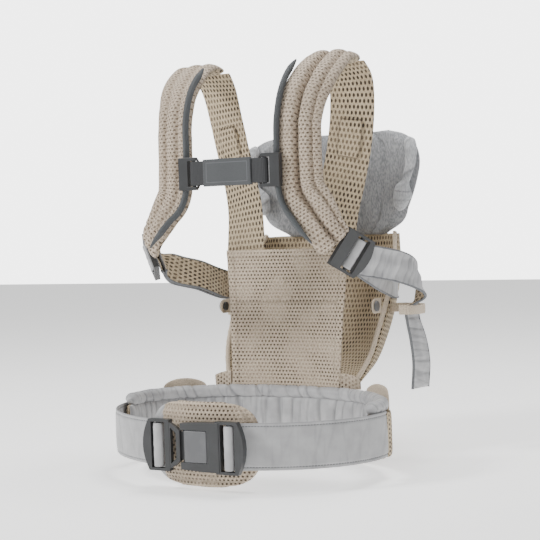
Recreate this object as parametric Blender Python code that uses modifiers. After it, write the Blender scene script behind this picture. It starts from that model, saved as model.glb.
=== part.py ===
"""A soft baby carrier as it hangs on a standing wearer: a padded waist belt that closes with a
buckle at the wearer's back, two padded shoulder straps joined by a sliding chest strap, a mesh
front panel, a baby pouch with a fold-down head support, and the moulded hardware.

Units are metres, +Z is up, +Y is the way the wearer faces and +X is the wearer's right.
The origin is the middle of the waist loop, at half the height of the belt strap.
"""

import math

import bmesh
import bpy
from mathutils import Matrix, Vector

# ---------------------------------------------------------------- driving dimensions
GAP = 0.0003  # between pieces that touch
PLY = 0.0018  # a mesh cover or a lining

# Waist loop: the belt strap's outer face is two half ellipses seen from above.
WAIST_HALF_WIDTH = 0.153
WAIST_BACK_DEPTH = 0.113
WAIST_FRONT_DEPTH = 0.098
BELT_STRAP_HEIGHT = 0.046
BELT_STRAP_THICKNESS = 0.0024
BELT_STRAP_START_DEG = -69.0  # behind the buckle's end plate
BELT_STRAP_END_DEG = 6.0  # sewn over the belt pad's end
BELT_PAD_START_DEG = -14.0
BELT_FOAM = 0.009
BELT_PAD_TOP_FRONT = 0.021
BELT_PAD_TOP_HIP = 0.020
BELT_PAD_BOTTOM_FRONT = -0.040
BELT_PAD_BOTTOM_HIP = -0.022
BELT_ROLL_RADIUS = 0.0062

# Lumbar pad, which slides on an arc behind the buckle.
LUMBAR_HALF_WIDTH = 0.063
LUMBAR_HALF_HEIGHT = 0.044
LUMBAR_FOAM = 0.010
LUMBAR_CLEARANCE = 0.0022
LUMBAR_CORNER_POWER = 3.2

# Waist buckle, flat on the wearer's back.
BUCKLE_HALF_LENGTH = 0.057
BUCKLE_HALF_HEIGHT = 0.0255
BUCKLE_DEPTH = 0.0084
BUCKLE_BAR_RADIUS = 0.0026
BUCKLE_BAR_X = 0.0400
BUCKLE_PLATE_LENGTH = 0.025
BUCKLE_PLATE_HEIGHT = 0.031
BUCKLE_BUTTON_TRAVEL = 0.002
BUCKLE_BASE = 0.002
BUCKLE_BLADE = 0.0018
RUNNING = 0.0004  # clearance between mouldings that slide

# Shoulder straps.
SHOULDER_FOAM = 0.009
FRONT_STRAP_WIDTH = 0.049
FRONT_STRAP_THICKNESS = 0.003
STRAP_TO_ADJUSTER = 0.0030  # the sewn seam between the padding and the adjuster's plate
PATCH_LENGTH = 0.042
PATCH_WIDTH = 0.026

# Rail and chest strap.
RAIL_RADIUS = 0.0026
CHEST_HEIGHT = 0.268
CHEST_WEBBING_HEIGHT = 0.025
CHEST_WEBBING_THICKNESS = 0.0016
CHEST_LABEL_LENGTH = 0.056
CHEST_LABEL_HEIGHT = 0.028
CHEST_LABEL_WALL = 0.0010
CLIP_HEIGHT = 0.034
CLIP_LENGTH = 0.0265
CLIP_DEPTH = 0.005
CLIP_BAR_RADIUS = 0.0022
CLIP_CHANNEL_WIDTH = 0.0110
CLIP_WALL = 0.0030

# Side straps and their adjusters.
SIDE_STRAP_WIDTH = 0.032
SIDE_STRAP_THICKNESS = 0.0024
ADJUSTER_PLATE_END = -0.0200
ADJUSTER_ROUND_END = 0.0190
ADJUSTER_WINDOW = (-0.0070, 0.0085)
ADJUSTER_HALF_HEIGHT = 0.0215
ADJUSTER_DEPTH = 0.0060
ADJUSTER_BAR_RADIUS = 0.0024
KEEPER_WALL = 0.0016
KEEPER_ROOM = 0.0062
KEEPER_HEIGHT = 0.008

# Front panel, pouch and head support.
PANEL_THICKNESS = 0.0026
POUCH_THICKNESS = 0.006
HEAD_FOAM = 0.008
BINDING_RADIUS = 0.0022
SNAP_RADIUS = 0.0060
SNAP_CAP = 0.0024
SNAP_TAB_LENGTH = 0.024
SNAP_AT_Z = 0.115
PANEL_TAB_LENGTH = 0.022
PANEL_TAB_HEIGHT = 0.014
FLAP_START_DEG = 27.0
FLAP_END_DEG = 50.0

SIDES = (("right", 1.0), ("left", -1.0))
BACK = -WAIST_BACK_DEPTH  # the plane of the buckle's back face


# ---------------------------------------------------------------- materials
def material(name, rgb, roughness, metallic=0.0):
    made = bpy.data.materials.new(name)
    made.use_nodes = True
    shader = made.node_tree.nodes["Principled BSDF"]
    shader.inputs["Base Color"].default_value = (*rgb, 1.0)
    shader.inputs["Roughness"].default_value = roughness
    shader.inputs["Metallic"].default_value = metallic
    return made


def make_materials():
    return {
        "mesh": material("beige_spacer_mesh", (0.62, 0.53, 0.43), 0.9),
        "nylon": material("light_grey_nylon", (0.55, 0.55, 0.56), 0.55),
        "foam": material("white_foam", (0.85, 0.85, 0.82), 1.0),
        "jersey": material("grey_melange_jersey", (0.42, 0.43, 0.45), 0.95),
        "plastic": material("dark_grey_acetal", (0.07, 0.072, 0.075), 0.42),
        "webbing": material("dark_grey_webbing", (0.08, 0.08, 0.085), 0.8),
        "steel": material("spring_steel", (0.6, 0.6, 0.6), 0.3, 1.0),
    }


# ---------------------------------------------------------------- modelling helpers
def add(name, mesh, kind, collection="carrier"):
    """Puts a mesh or curve into the scene as one named sub-part."""
    made = bpy.data.objects.new(name, mesh)
    bpy.data.collections[collection].objects.link(made)
    if kind is not None:
        made.data.materials.append(MATERIALS[kind])
    return made


def surface(name, rows, kind, thickness, offset):
    """An open sheet from rows of points, made solid. offset is -1, 0 or 1: the side it grows to."""
    across = len(rows[0])
    points = [p for row in rows for p in row]
    faces = [
        (r * across + c, r * across + c + 1, (r + 1) * across + c + 1, (r + 1) * across + c)
        for r in range(len(rows) - 1)
        for c in range(across - 1)
    ]
    mesh = bpy.data.meshes.new(name)
    mesh.from_pydata(points, [], faces)
    made = add(name, mesh, kind)
    solid = made.modifiers.new("thickness", "SOLIDIFY")
    solid.thickness = thickness
    solid.offset = offset
    return made


def smooth_through(points, steps):
    """A Catmull-Rom curve through the points, with this many steps between each pair."""
    points = [Vector(p) for p in points]
    ends = [2 * points[0] - points[1], *points, 2 * points[-1] - points[-2]]
    out = []
    for i in range(1, len(ends) - 2):
        a, b, c, d = ends[i - 1 : i + 3]
        for k in range(steps):
            t = k / steps
            out.append(
                0.5 * (2 * b + (c - a) * t + (2 * a - 5 * b + 4 * c - d) * t**2
                       + (3 * b - a - 3 * c + d) * t**3)
            )
    return [*out, points[-1]]


class Band:
    """A flat band along a curve: at each step a middle point, a normal and a direction across."""

    def __init__(self, middle, normals, widths, steps, mirror=1.0):
        self.mirror = mirror
        self.middle = smooth_through(middle, steps)
        wanted = smooth_through(normals, steps)
        self.width = [v.x for v in smooth_through([(w, 0, 0) for w in widths], steps)]
        self.normal, self.across = [], []
        last = len(self.middle) - 1
        for i, n in enumerate(wanted):
            along = (self.middle[min(i + 1, last)] - self.middle[max(i - 1, 0)]).normalized()
            side = along.cross(n).normalized()
            self.across.append(side)
            self.normal.append(side.cross(along).normalized())

    def at(self, i, across, height):
        p = self.middle[i] + self.across[i] * across + self.normal[i] * height
        return Vector((p.x * self.mirror, p.y, p.z))

    def rows(self, height, first=0, last=None, columns=2, inset=0.0):
        last = len(self.middle) - 1 if last is None else last
        found = []
        for i in range(first, last + 1):
            half = self.width[i] / 2 - inset
            row = [
                self.at(i, half * (2 * c / (columns - 1) - 1) * self.mirror, height)
                for c in range(columns)
            ]
            found.append(row)
        return found


def tube(name, points, radius, kind, resolution=2):
    curve = bpy.data.curves.new(name, "CURVE")
    curve.dimensions = "3D"
    spline = curve.splines.new("POLY")
    spline.points.add(len(points) - 1)
    for target, p in zip(spline.points, points):
        target.co = (*p, 1.0)
    curve.bevel_depth = radius
    curve.bevel_resolution = resolution
    curve.use_fill_caps = True
    return add(name, curve, kind)


def box(name, low, high, kind, collection="carrier"):
    low, high = Vector(low), Vector(high)
    form = bmesh.new()
    bmesh.ops.create_cube(form, size=1.0)
    bmesh.ops.scale(form, vec=high - low, verts=form.verts)
    bmesh.ops.translate(form, vec=(low + high) / 2, verts=form.verts)
    mesh = bpy.data.meshes.new(name)
    form.to_mesh(mesh)
    form.free()
    return add(name, mesh, kind, collection)


def cylinder(name, middle, axis, radius, length, kind, collection="carrier", sides=16):
    form = bmesh.new()
    bmesh.ops.create_cone(
        form, cap_ends=True, segments=sides, radius1=radius, radius2=radius, depth=length
    )
    turn = Vector((0, 0, 1)).rotation_difference(Vector(axis)).to_matrix().to_4x4()
    form.transform(Matrix.Translation(middle) @ turn)
    mesh = bpy.data.meshes.new(name)
    form.to_mesh(mesh)
    form.free()
    return add(name, mesh, kind, collection)


def plate(name, outline, low, high, kind, collection="carrier"):
    """A flat outline in X and Z, made solid from y = low to y = high."""
    form = bmesh.new()
    near = [form.verts.new((x, low, z)) for x, z in outline]
    face = form.faces.new(near)
    face.normal_update()
    raised = bmesh.ops.extrude_face_region(form, geom=[face])["geom"]
    moved = [v for v in raised if isinstance(v, bmesh.types.BMVert)]
    bmesh.ops.translate(form, vec=(0, high - low, 0), verts=moved)
    bmesh.ops.recalc_face_normals(form, faces=form.faces)
    mesh = bpy.data.meshes.new(name)
    form.to_mesh(mesh)
    form.free()
    return add(name, mesh, kind, collection)


def combine(target, tool, operation):
    """Cuts the tool out of the target, or joins it to the target, and hides the tool."""
    step = target.modifiers.new(operation.lower(), "BOOLEAN")
    step.operation = operation
    step.object = tool
    step.solver = "EXACT"
    tool.hide_render = True
    tool.display_type = "WIRE"


def cut(target, tool):
    combine(target, tool, "DIFFERENCE")


def join(target, tool):
    combine(target, tool, "UNION")


def place(obj, matrix):
    obj.matrix_world = matrix
    return obj


# ---------------------------------------------------------------- waist belt
def on_waist(degrees, inward, z):
    """A point on the waist ellipse, moved inward along its normal."""
    t = math.radians(degrees)
    a, b = WAIST_HALF_WIDTH, WAIST_FRONT_DEPTH if t > 0 else WAIST_BACK_DEPTH
    normal = Vector((math.cos(t) / a, math.sin(t) / b, 0)).normalized()
    return Vector((a * math.cos(t), b * math.sin(t), z)) - normal * inward


def hip_blend(degrees):
    """0 at the hips and 1 at the wearer's front."""
    return max(0.0, math.sin(math.radians(degrees))) ** 0.7


def belt_top(degrees):
    return BELT_PAD_TOP_HIP + (BELT_PAD_TOP_FRONT - BELT_PAD_TOP_HIP) * hip_blend(degrees)


def belt_bottom(degrees):
    return BELT_PAD_BOTTOM_HIP + (BELT_PAD_BOTTOM_FRONT - BELT_PAD_BOTTOM_HIP) * hip_blend(degrees)


def belt_layer(name, inward, thickness, kind, trim=0.0):
    """One C-shaped ply of the belt pad, from hip to hip round the wearer's front."""
    steps = 32
    first = BELT_PAD_START_DEG + math.degrees(trim / WAIST_HALF_WIDTH)
    last = 180.0 - first
    rows = []
    for i in range(steps + 1):
        d = first + (last - first) * i / steps
        low, high = belt_bottom(d) + trim, belt_top(d) - trim
        rows.append([on_waist(d, inward, low), on_waist(d, inward, high)])
    surface(name, rows, kind, thickness, 1)


def make_belt():
    outer = BELT_STRAP_THICKNESS + GAP
    belt_layer("waist_belt_cover", outer, PLY, "mesh")
    belt_layer("waist_belt_foam", outer + PLY + GAP, BELT_FOAM, "foam", trim=0.002)
    belt_layer("waist_belt_lining", outer + PLY + BELT_FOAM + 2 * GAP, PLY, "nylon")
    depth = outer + PLY + BELT_FOAM / 2
    steps = 32
    first = BELT_PAD_START_DEG + 3.0
    route = []
    for i in range(steps + 1):
        d = first + (180.0 - 2 * first) * i / steps
        route.append(on_waist(d, depth, belt_top(d) + BELT_ROLL_RADIUS + GAP))
    tube("waist_belt_roll", route, BELT_ROLL_RADIUS, "nylon")
    # The straps start against their turns round the buckle's bars.
    behind_bar = BACK - BUCKLE_DEPTH / 2 + BUCKLE_BAR_RADIUS + BELT_STRAP_THICKNESS + 3 * GAP
    steps = 18
    line = [Vector((BUCKLE_BAR_X - 0.002, behind_bar, 0)), Vector((BUCKLE_BAR_X + 0.005, behind_bar, 0))]
    for i in range(steps + 1):
        share = i / steps
        d = BELT_STRAP_START_DEG + (BELT_STRAP_END_DEG - BELT_STRAP_START_DEG) * share
        line.append(on_waist(d, 0.0, 0.0))
    for side, mirror in SIDES:
        half = BELT_STRAP_HEIGHT / 2
        rows = [[Vector((p.x * mirror, p.y, z * half)) for z in (-mirror, mirror)] for p in line]
        surface(f"belt_strap_{side}", rows, "nylon", BELT_STRAP_THICKNESS, 1)


# ---------------------------------------------------------------- lumbar pad
def lumbar_pivot():
    """The arc's radius and the y of its centre: it fits the belt's back at the buckle."""
    radius = WAIST_HALF_WIDTH**2 / WAIST_BACK_DEPTH
    return radius, radius - WAIST_BACK_DEPTH


def make_lumbar_pad():
    """Three plies of a rounded cushion, bent round the arc that it slides on."""
    radius, pivot_y = lumbar_pivot()
    columns, steps = 10, 6
    face = radius - BELT_STRAP_THICKNESS - LUMBAR_CLEARANCE
    plies = (
        ("lumbar_pad_cover", PLY, "mesh", 0.0),
        ("lumbar_pad_foam", LUMBAR_FOAM, "foam", 0.002),
        ("lumbar_pad_lining", PLY, "mesh", 0.0),
    )
    for name, thickness, kind, trim in plies:
        rows = []
        for r in range(steps + 1):
            v = math.sin(math.pi / 2 * (2 * r / steps - 1))
            reach = (1 - abs(v) ** LUMBAR_CORNER_POWER) ** (1 / LUMBAR_CORNER_POWER)
            half = (LUMBAR_HALF_WIDTH - trim) * max(reach, 0.45)
            z = v * (LUMBAR_HALF_HEIGHT - trim)
            angles = [half * (2 * c / (columns - 1) - 1) / face for c in range(columns)]
            rows.append([Vector((face * math.sin(a), pivot_y - face * math.cos(a), z)) for a in angles])
        surface(name, rows, kind, thickness, -1)
        face -= thickness + 2 * GAP


# ---------------------------------------------------------------- waist buckle
def rounded_end(start, end, half_height, bulge, direction, points=9):
    """An outline that starts square at x = start and ends in a shallow arc at x = end."""
    outline = [(start, -half_height), (start, half_height)]
    for i in range(points):
        z = half_height * (1 - 2 * i / (points - 1))
        inset = bulge * (z / half_height) ** 2
        outline.append((end - direction * inset, z))
    return outline


def make_ladder_end(name, direction, collection, kind):
    """The end of the buckle that holds a strap: a window, a bar and a curved end plate."""
    inner = 0.026 * direction
    outer = BUCKLE_HALF_LENGTH * direction
    low, high = BACK - BUCKLE_DEPTH, BACK
    body = plate(
        name,
        rounded_end(inner, outer, BUCKLE_HALF_HEIGHT, 0.007, direction),
        low + 0.0010,
        high - 0.0004,
        kind,
        collection,
    )
    window = (0.0315, 0.0470)
    wall = BUCKLE_HALF_HEIGHT - 0.0028
    hole = box(
        f"{name}_window",
        (min(window[0] * direction, window[1] * direction), low - 0.002, -wall),
        (max(window[0] * direction, window[1] * direction), high + 0.002, wall),
        None,
        "cutters",
    )
    cut(body, hole)
    bar = cylinder(
        f"{name}_bar",
        (BUCKLE_BAR_X * direction, (low + high) / 2, 0),
        (0, 0, 1),
        BUCKLE_BAR_RADIUS,
        2 * wall + 0.002,
        None,
        "cutters",
    )
    join(body, bar)
    return body


def make_wrap(name, middle, radius, thickness, half_height, kind, sweep=250.0):
    """The strap's turn round a bar: an open sleeve that shows on the outer side."""
    steps = 14
    rows = []
    for i in range(steps + 1):
        a = math.radians(-90.0 + sweep * (i / steps - 0.5))
        x = middle[0] + radius * math.cos(a)
        y = middle[1] + radius * math.sin(a)
        rows.append([Vector((x, y, middle[2] - half_height)), Vector((x, y, middle[2] + half_height))])
    return surface(name, rows, kind, thickness, -1)


def make_waist_buckle():
    low = BACK - BUCKLE_DEPTH
    plate_half = BUCKLE_PLATE_HEIGHT / 2
    plate_from, plate_to = -0.0085, -0.0085 + BUCKLE_PLATE_LENGTH
    # Housing, on the wearer's right.
    housing = make_ladder_end("waist_buckle_housing", 1.0, "carrier", "plastic")
    arm = plate_half + RUNNING
    frame = plate(
        "housing_frame",
        [
            (-0.0130, -0.0225), (0.0100, -0.0240), (0.0300, -0.0240),
            (0.0300, 0.0240), (0.0100, 0.0240), (-0.0130, 0.0225),
        ],
        low + 0.0004,
        BACK - 0.0002,
        None,
        "cutters",
    )
    pocket = box(
        "housing_pocket",
        (-0.0200, low - 0.002, -arm),
        (plate_to + RUNNING, BACK - BUCKLE_BASE, arm),
        None,
        "cutters",
    )
    cut(frame, pocket)
    join(housing, frame)
    spring_x = plate_to - 0.0035
    for z in (0.009, -0.009):
        well = cylinder(
            f"spring_well_{z:+.3f}", (spring_x, BACK, z), (0, 1, 0), 0.0024, 0.012, None, "cutters"
        )
        cut(housing, well)
    # Tongue, on the wearer's left: it slides out of the housing to unclip the belt.
    tongue = make_ladder_end("waist_buckle_tongue", -1.0, "carrier", "plastic")
    neck = plate(
        "tongue_neck",
        [
            (-0.0270, -0.0235), (-0.0185, -0.0185), (-0.0140, -0.0145),
            (-0.0140, 0.0145), (-0.0185, 0.0185), (-0.0270, 0.0235),
        ],
        low + 0.0012,
        BACK - BUCKLE_BASE - RUNNING,
        None,
        "cutters",
    )
    slot = plate(
        "tongue_slot",
        [(-0.0245, -0.0175), (-0.0185, -0.0125), (-0.0185, 0.0125), (-0.0245, 0.0175)],
        low - 0.002,
        BACK + 0.002,
        None,
        "cutters",
    )
    cut(neck, slot)
    join(tongue, neck)
    blade_far = spring_x - 0.0045
    blade_back = BACK - BUCKLE_BASE - RUNNING
    blade = box(
        "tongue_blade",
        (-0.0160, blade_back - BUCKLE_BLADE, -plate_half + 0.0015),
        (blade_far, blade_back, plate_half - 0.0015),
        None,
        "cutters",
    )
    join(tongue, blade)
    # Release button with its two springs.
    button_back = blade_back - BUCKLE_BLADE - RUNNING / 2 - BUCKLE_BUTTON_TRAVEL
    button = box(
        "waist_buckle_button",
        (plate_from, low, -plate_half),
        (plate_to, button_back, plate_half),
        "plastic",
    )
    edge = button.modifiers.new("edge", "BEVEL")
    edge.width = 0.0006
    edge.segments = 1
    for name, z in (("upper", 0.009), ("lower", -0.009)):
        turns, per_turn = 3, 8
        length = abs(BACK - BUCKLE_BASE - button_back) - 2 * GAP - 0.0004
        coil = []
        for i in range(turns * per_turn + 1):
            a = 2 * math.pi * i / per_turn
            y = button_back + GAP + 0.0002 + length * i / (turns * per_turn)
            coil.append((spring_x + 0.0016 * math.cos(a), y, z + 0.0016 * math.sin(a)))
        tube(f"button_spring_{name}", coil, 0.00025, "steel", resolution=1)
    # The straps' turns round the two bars.
    for side, mirror in SIDES:
        make_wrap(
            f"belt_strap_wrap_{side}",
            (BUCKLE_BAR_X * mirror, (low + BACK) / 2, 0),
            BUCKLE_BAR_RADIUS + GAP,
            BELT_STRAP_THICKNESS,
            BELT_STRAP_HEIGHT / 2 - 0.0015,
            "nylon",
        )


# ---------------------------------------------------------------- shoulder straps
# The frame of the right adjuster: the way its strap runs, outwards, and up along its bar.
ADJUSTER_AT = Vector((0.1212, 0.0054, 0.1804))
ADJUSTER_ALONG = Vector((0.45, 0.75, -0.47)).normalized()
ADJUSTER_UP = Vector((0.489, 0.241, 0.838))
ADJUSTER_UP = (ADJUSTER_UP - ADJUSTER_ALONG * ADJUSTER_UP.dot(ADJUSTER_ALONG)).normalized()
ADJUSTER_OUT = ADJUSTER_ALONG.cross(ADJUSTER_UP).normalized()


def from_adjuster(along, outward, up=0.0):
    return ADJUSTER_AT + ADJUSTER_ALONG * along + ADJUSTER_OUT * outward + ADJUSTER_UP * up


# Right side, from the lower end at the ribs, up the back, over the shoulder.
SHOULDER_MIDDLE = [
    from_adjuster(ADJUSTER_PLATE_END - STRAP_TO_ADJUSTER, 0.0), (0.1035, -0.0175, 0.2030),
    (0.0960, -0.0180, 0.2140), (0.0865, -0.0160, 0.2295), (0.0765, -0.0140, 0.2470),
    (0.0745, -0.0135, 0.2700), (0.0742, -0.0130, 0.2950), (0.0745, -0.0115, 0.3180),
    (0.0765, -0.0020, 0.3430), (0.0800, 0.0170, 0.3650), (0.0830, 0.0450, 0.3830),
    (0.0820, 0.0740, 0.3850),
]
SHOULDER_NORMAL = [
    ADJUSTER_OUT, (0.68, -0.71, -0.18), (0.56, -0.82, -0.08), (0.40, -0.91, 0.0), (0.20, -0.98, 0.0),
    (0.15, -0.99, 0.0), (0.15, -0.99, 0.0), (0.15, -0.99, 0.0),
    (0.15, -0.95, 0.30), (0.10, -0.65, 0.75), (0.05, -0.15, 1.0), (0.0, 0.30, 0.95),
]
SHOULDER_WIDTH = [0.040, 0.041, 0.045, 0.047, 0.046, 0.045, 0.045, 0.045, 0.048, 0.052, 0.052, 0.049]
FRONT_MIDDLE = [
    (0.0820, 0.0800, 0.3830), (0.0820, 0.0990, 0.3640), (0.0785, 0.1070, 0.3300),
    (0.0725, 0.1100, 0.2950), (0.0645, 0.1100, 0.2600), (0.0575, 0.1060, 0.2250),
    (0.0540, 0.0982, 0.1760),
]
FRONT_NORMAL = [
    (0.0, 0.40, 0.92), (-0.15, 0.85, 0.50), (-0.22, 0.96, 0.12), (-0.24, 0.97, 0.0),
    (-0.22, 0.97, 0.0), (-0.14, 0.99, 0.0), (0.0, 1.0, 0.0),
]
RAIL_START, RAIL_END = 3, 29  # steps along the shoulder strap


def shoulder_band(mirror):
    return Band(SHOULDER_MIDDLE, SHOULDER_NORMAL, SHOULDER_WIDTH, 3, mirror)


def front_band(mirror):
    return Band(FRONT_MIDDLE, FRONT_NORMAL, [FRONT_STRAP_WIDTH] * 7, 3, mirror)


def rail_route(mirror):
    """The rail lies on the cover, along the strap's inner edge."""
    band = shoulder_band(mirror)
    height = SHOULDER_FOAM / 2 + PLY + RAIL_RADIUS + 3 * GAP
    return [band.at(i, -band.width[i] / 2, height) for i in range(RAIL_START, RAIL_END)]


def make_shoulder_straps():
    for side, mirror in SIDES:
        band = shoulder_band(mirror)
        half = SHOULDER_FOAM / 2
        # The plies are sewn together round the adjuster's plate before the foam begins.
        surface(f"shoulder_foam_{side}", band.rows(-half, first=2, inset=0.002), "foam", SHOULDER_FOAM, 1)
        surface(f"shoulder_cover_{side}", band.rows(half + GAP), "mesh", PLY, 1)
        surface(f"shoulder_lining_{side}", band.rows(-half - GAP), "mesh", PLY, -1)
        strap = front_band(mirror)
        surface(f"front_strap_{side}", strap.rows(0.0), "mesh", FRONT_STRAP_THICKNESS, 0)
        tube(f"strap_rail_{side}", rail_route(mirror), RAIL_RADIUS, "webbing")
        # A reinforcing patch on the wearer's side of the front strap.
        steps = [i for i, p in enumerate(strap.middle) if abs(p.z - 0.304) < PATCH_LENGTH / 2]
        rows = []
        for i in steps:
            rows.append(
                [strap.at(i, c * PATCH_WIDTH / 2, -FRONT_STRAP_THICKNESS / 2 - GAP) for c in (-mirror, mirror)]
            )
        surface(f"front_strap_patch_{side}", rows, "mesh", 0.0010, -1)


# ---------------------------------------------------------------- chest strap
def make_chest_strap():
    """Webbing between two clips that slide on the rails; the whole strap moves up and down."""
    rail = min(rail_route(1.0), key=lambda p: abs(p.z - CHEST_HEIGHT))
    clip_out = rail.x + CLIP_CHANNEL_WIDTH / 2
    clip_in = clip_out - CLIP_LENGTH
    back = rail.y - RAIL_RADIUS - CLIP_WALL
    half = CLIP_HEIGHT / 2
    bar_x = clip_in + 0.0088
    bar_y = back + CLIP_DEPTH / 2
    for side, mirror in SIDES:
        outline = [(x, z) for x, z in rounded_end(-clip_out, -clip_in, half, 0.006, 1.0)]
        outline = [(-x * mirror, z + CHEST_HEIGHT) for x, z in outline]
        clip = plate(f"chest_clip_{side}", outline, back, back + CLIP_DEPTH, "plastic")
        near, far = (clip_in + 0.0042) * mirror, (clip_out - CLIP_CHANNEL_WIDTH) * mirror
        window = box(
            f"chest_clip_{side}_window",
            (min(near, far), back - 0.002, CHEST_HEIGHT - half + 0.0036),
            (max(near, far), back + CLIP_DEPTH + 0.002, CHEST_HEIGHT + half - 0.0036),
            None,
            "cutters",
        )
        cut(clip, window)
        bar = cylinder(
            f"chest_clip_{side}_bar",
            (bar_x * mirror, bar_y, CHEST_HEIGHT),
            (0, 0, 1),
            CLIP_BAR_RADIUS,
            CLIP_HEIGHT - 0.004,
            None,
            "cutters",
        )
        join(clip, bar)
        channel_from = (clip_out - CLIP_CHANNEL_WIDTH) * mirror
        channel = box(
            f"chest_clip_{side}_channel",
            (min(channel_from, clip_out * mirror), back, CHEST_HEIGHT - half),
            (max(channel_from, clip_out * mirror), rail.y + RAIL_RADIUS * 0.4, CHEST_HEIGHT + half),
            None,
            "cutters",
        )
        join(clip, channel)
        groove_half = RAIL_RADIUS + 0.0010
        groove = box(
            f"chest_clip_{side}_groove",
            (rail.x * mirror - groove_half, rail.y - groove_half, CHEST_HEIGHT - half - 0.002),
            (rail.x * mirror + groove_half, rail.y + 0.010, CHEST_HEIGHT + half + 0.002),
            None,
            "cutters",
        )
        cut(clip, groove)
    # One strip of webbing, turned round both bars.
    turn_radius = CLIP_BAR_RADIUS + GAP
    line = []
    for direction in (-1.0, 1.0):
        turn = []
        for i in range(11):
            a = math.radians(-90.0 + 200.0 * i / 10)
            turn.append(
                (direction * (bar_x + turn_radius * math.cos(a)), bar_y + turn_radius * math.sin(a))
            )
        line += reversed(turn) if direction < 0 else turn
    tall = CHEST_WEBBING_HEIGHT / 2
    rows = [[Vector((x, y, CHEST_HEIGHT + z)) for z in (-tall, tall)] for x, y in line]
    surface("chest_webbing", rows, "webbing", CHEST_WEBBING_THICKNESS, -1)
    # A blank fabric label sewn as a sleeve round the webbing.
    web_low = bar_y - turn_radius - CHEST_WEBBING_THICKNESS
    web_high = bar_y - turn_radius
    sleeve = box(
        "chest_label",
        (-CHEST_LABEL_LENGTH / 2, web_low - GAP - CHEST_LABEL_WALL, CHEST_HEIGHT - CHEST_LABEL_HEIGHT / 2),
        (CHEST_LABEL_LENGTH / 2, web_high + GAP + CHEST_LABEL_WALL, CHEST_HEIGHT + CHEST_LABEL_HEIGHT / 2),
        "webbing",
    )
    tunnel = box(
        "chest_label_tunnel",
        (-CHEST_LABEL_LENGTH, web_low - GAP, CHEST_HEIGHT - tall - GAP),
        (CHEST_LABEL_LENGTH, web_high + GAP, CHEST_HEIGHT + tall + GAP),
        None,
        "cutters",
    )
    cut(sleeve, tunnel)


# ---------------------------------------------------------------- side straps
# Each list starts at the adjuster and is followed by the directions that the strap faces.
FREE_LAYER = -ADJUSTER_DEPTH / 2 - SIDE_STRAP_THICKNESS / 2 - 6 * GAP
FIXED_LAYER = FREE_LAYER - SIDE_STRAP_THICKNESS - 12 * GAP
LEFT_SPREAD = [FREE_LAYER - FIXED_LAYER + extra for extra in (-0.0008, -0.0012, 0.0, 0.0006, 0.0006, 0.0006)]
RIGHT_FIXED = [
    from_adjuster(0.0070, FIXED_LAYER), from_adjuster(0.0170, FIXED_LAYER),
    (0.1180, 0.0405, 0.1695), (0.1205, 0.0750, 0.1560),
    (0.1160, 0.1100, 0.1480), (0.1060, 0.1450, 0.1430), (0.1000, 0.1700, 0.1420),
]
RIGHT_FIXED_FACES = [
    ADJUSTER_OUT, ADJUSTER_OUT, (0.94, -0.25, -0.17), (0.98, 0.05, -0.20), (0.96, 0.25, -0.10), (0.95, 0.30, 0.0),
    (0.98, 0.20, 0.0),
]
RIGHT_FREE = [
    from_adjuster(0.0070, FREE_LAYER), from_adjuster(0.0170, FREE_LAYER),
    (0.1300, 0.0385, 0.1710), (0.1420, 0.0700, 0.1650),
    (0.1490, 0.0980, 0.1560), (0.1480, 0.1190, 0.1430), (0.1390, 0.1270, 0.1300),
    (0.1330, 0.1290, 0.1160), (0.1335, 0.1300, 0.1030), (0.1385, 0.1300, 0.0830),
    (0.1415, 0.1300, 0.0580), (0.1395, 0.1300, 0.0300),
]
RIGHT_FREE_FACES = [
    ADJUSTER_OUT, ADJUSTER_OUT, (0.92, -0.36, -0.14), (0.93, -0.30, -0.15),
    (0.92, 0.10, 0.05), (0.75, 0.62, 0.10), (0.75, 0.45, -0.40),
    (0.98, 0.0, -0.10), (0.98, -0.05, 0.10), (0.98, -0.15, 0.15), (1.0, -0.2, 0.0), (1.0, -0.2, -0.1),
]
LEFT_FIXED = [
    from_adjuster(0.0070, FIXED_LAYER), from_adjuster(0.0170, FIXED_LAYER),
    (0.1105, 0.0430, 0.1660), (0.0980, 0.0700, 0.1590),
    (0.0955, 0.0980, 0.1510), (0.0970, 0.1250, 0.1450), (0.1000, 0.1500, 0.1430),
    (0.1000, 0.1700, 0.1420),
]
LEFT_FIXED_FACES = [
    ADJUSTER_OUT, ADJUSTER_OUT, (1.0, 0.85, -0.35), (0.98, 0.15, -0.15), (0.99, 0.0, -0.10), (0.99, 0.0, 0.0),
    (0.99, 0.0, 0.0), (0.99, 0.1, 0.0),
]
LEFT_BESIDE = Band(LEFT_FIXED, LEFT_FIXED_FACES, [SIDE_STRAP_WIDTH] * len(LEFT_FIXED), 1)
LEFT_FREE = [LEFT_BESIDE.at(i, 0.0, d) for i, d in enumerate(LEFT_SPREAD)] + [
    (0.1075, 0.1500, 0.1420), (0.1085, 0.1700, 0.1330),
    (0.1085, 0.1800, 0.1120), (0.1085, 0.1820, 0.0880), (0.1085, 0.1820, 0.0620),
]
LEFT_FREE_FACES = [LEFT_BESIDE.normal[i] for i in range(len(LEFT_SPREAD))] + [(1.0, 0.0, 0.0)] * 5
RIGHT_KEEPER, LEFT_KEEPER = 7, 8  # the points of the free ends that the keepers hold


def adjuster_matrix(mirror):
    """Local x runs along the strap on the right and against it on the left, local -y outwards."""
    flip = Vector((mirror, 1, 1))
    columns = [
        (ADJUSTER_ALONG * flip) * mirror,
        -(ADJUSTER_OUT * flip),
        ADJUSTER_UP * flip,
        ADJUSTER_AT * flip,
    ]
    made = Matrix.Identity(4)
    for c, column in enumerate(columns):
        for r in range(3):
            made[r][c] = column[r]
    return made


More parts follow.
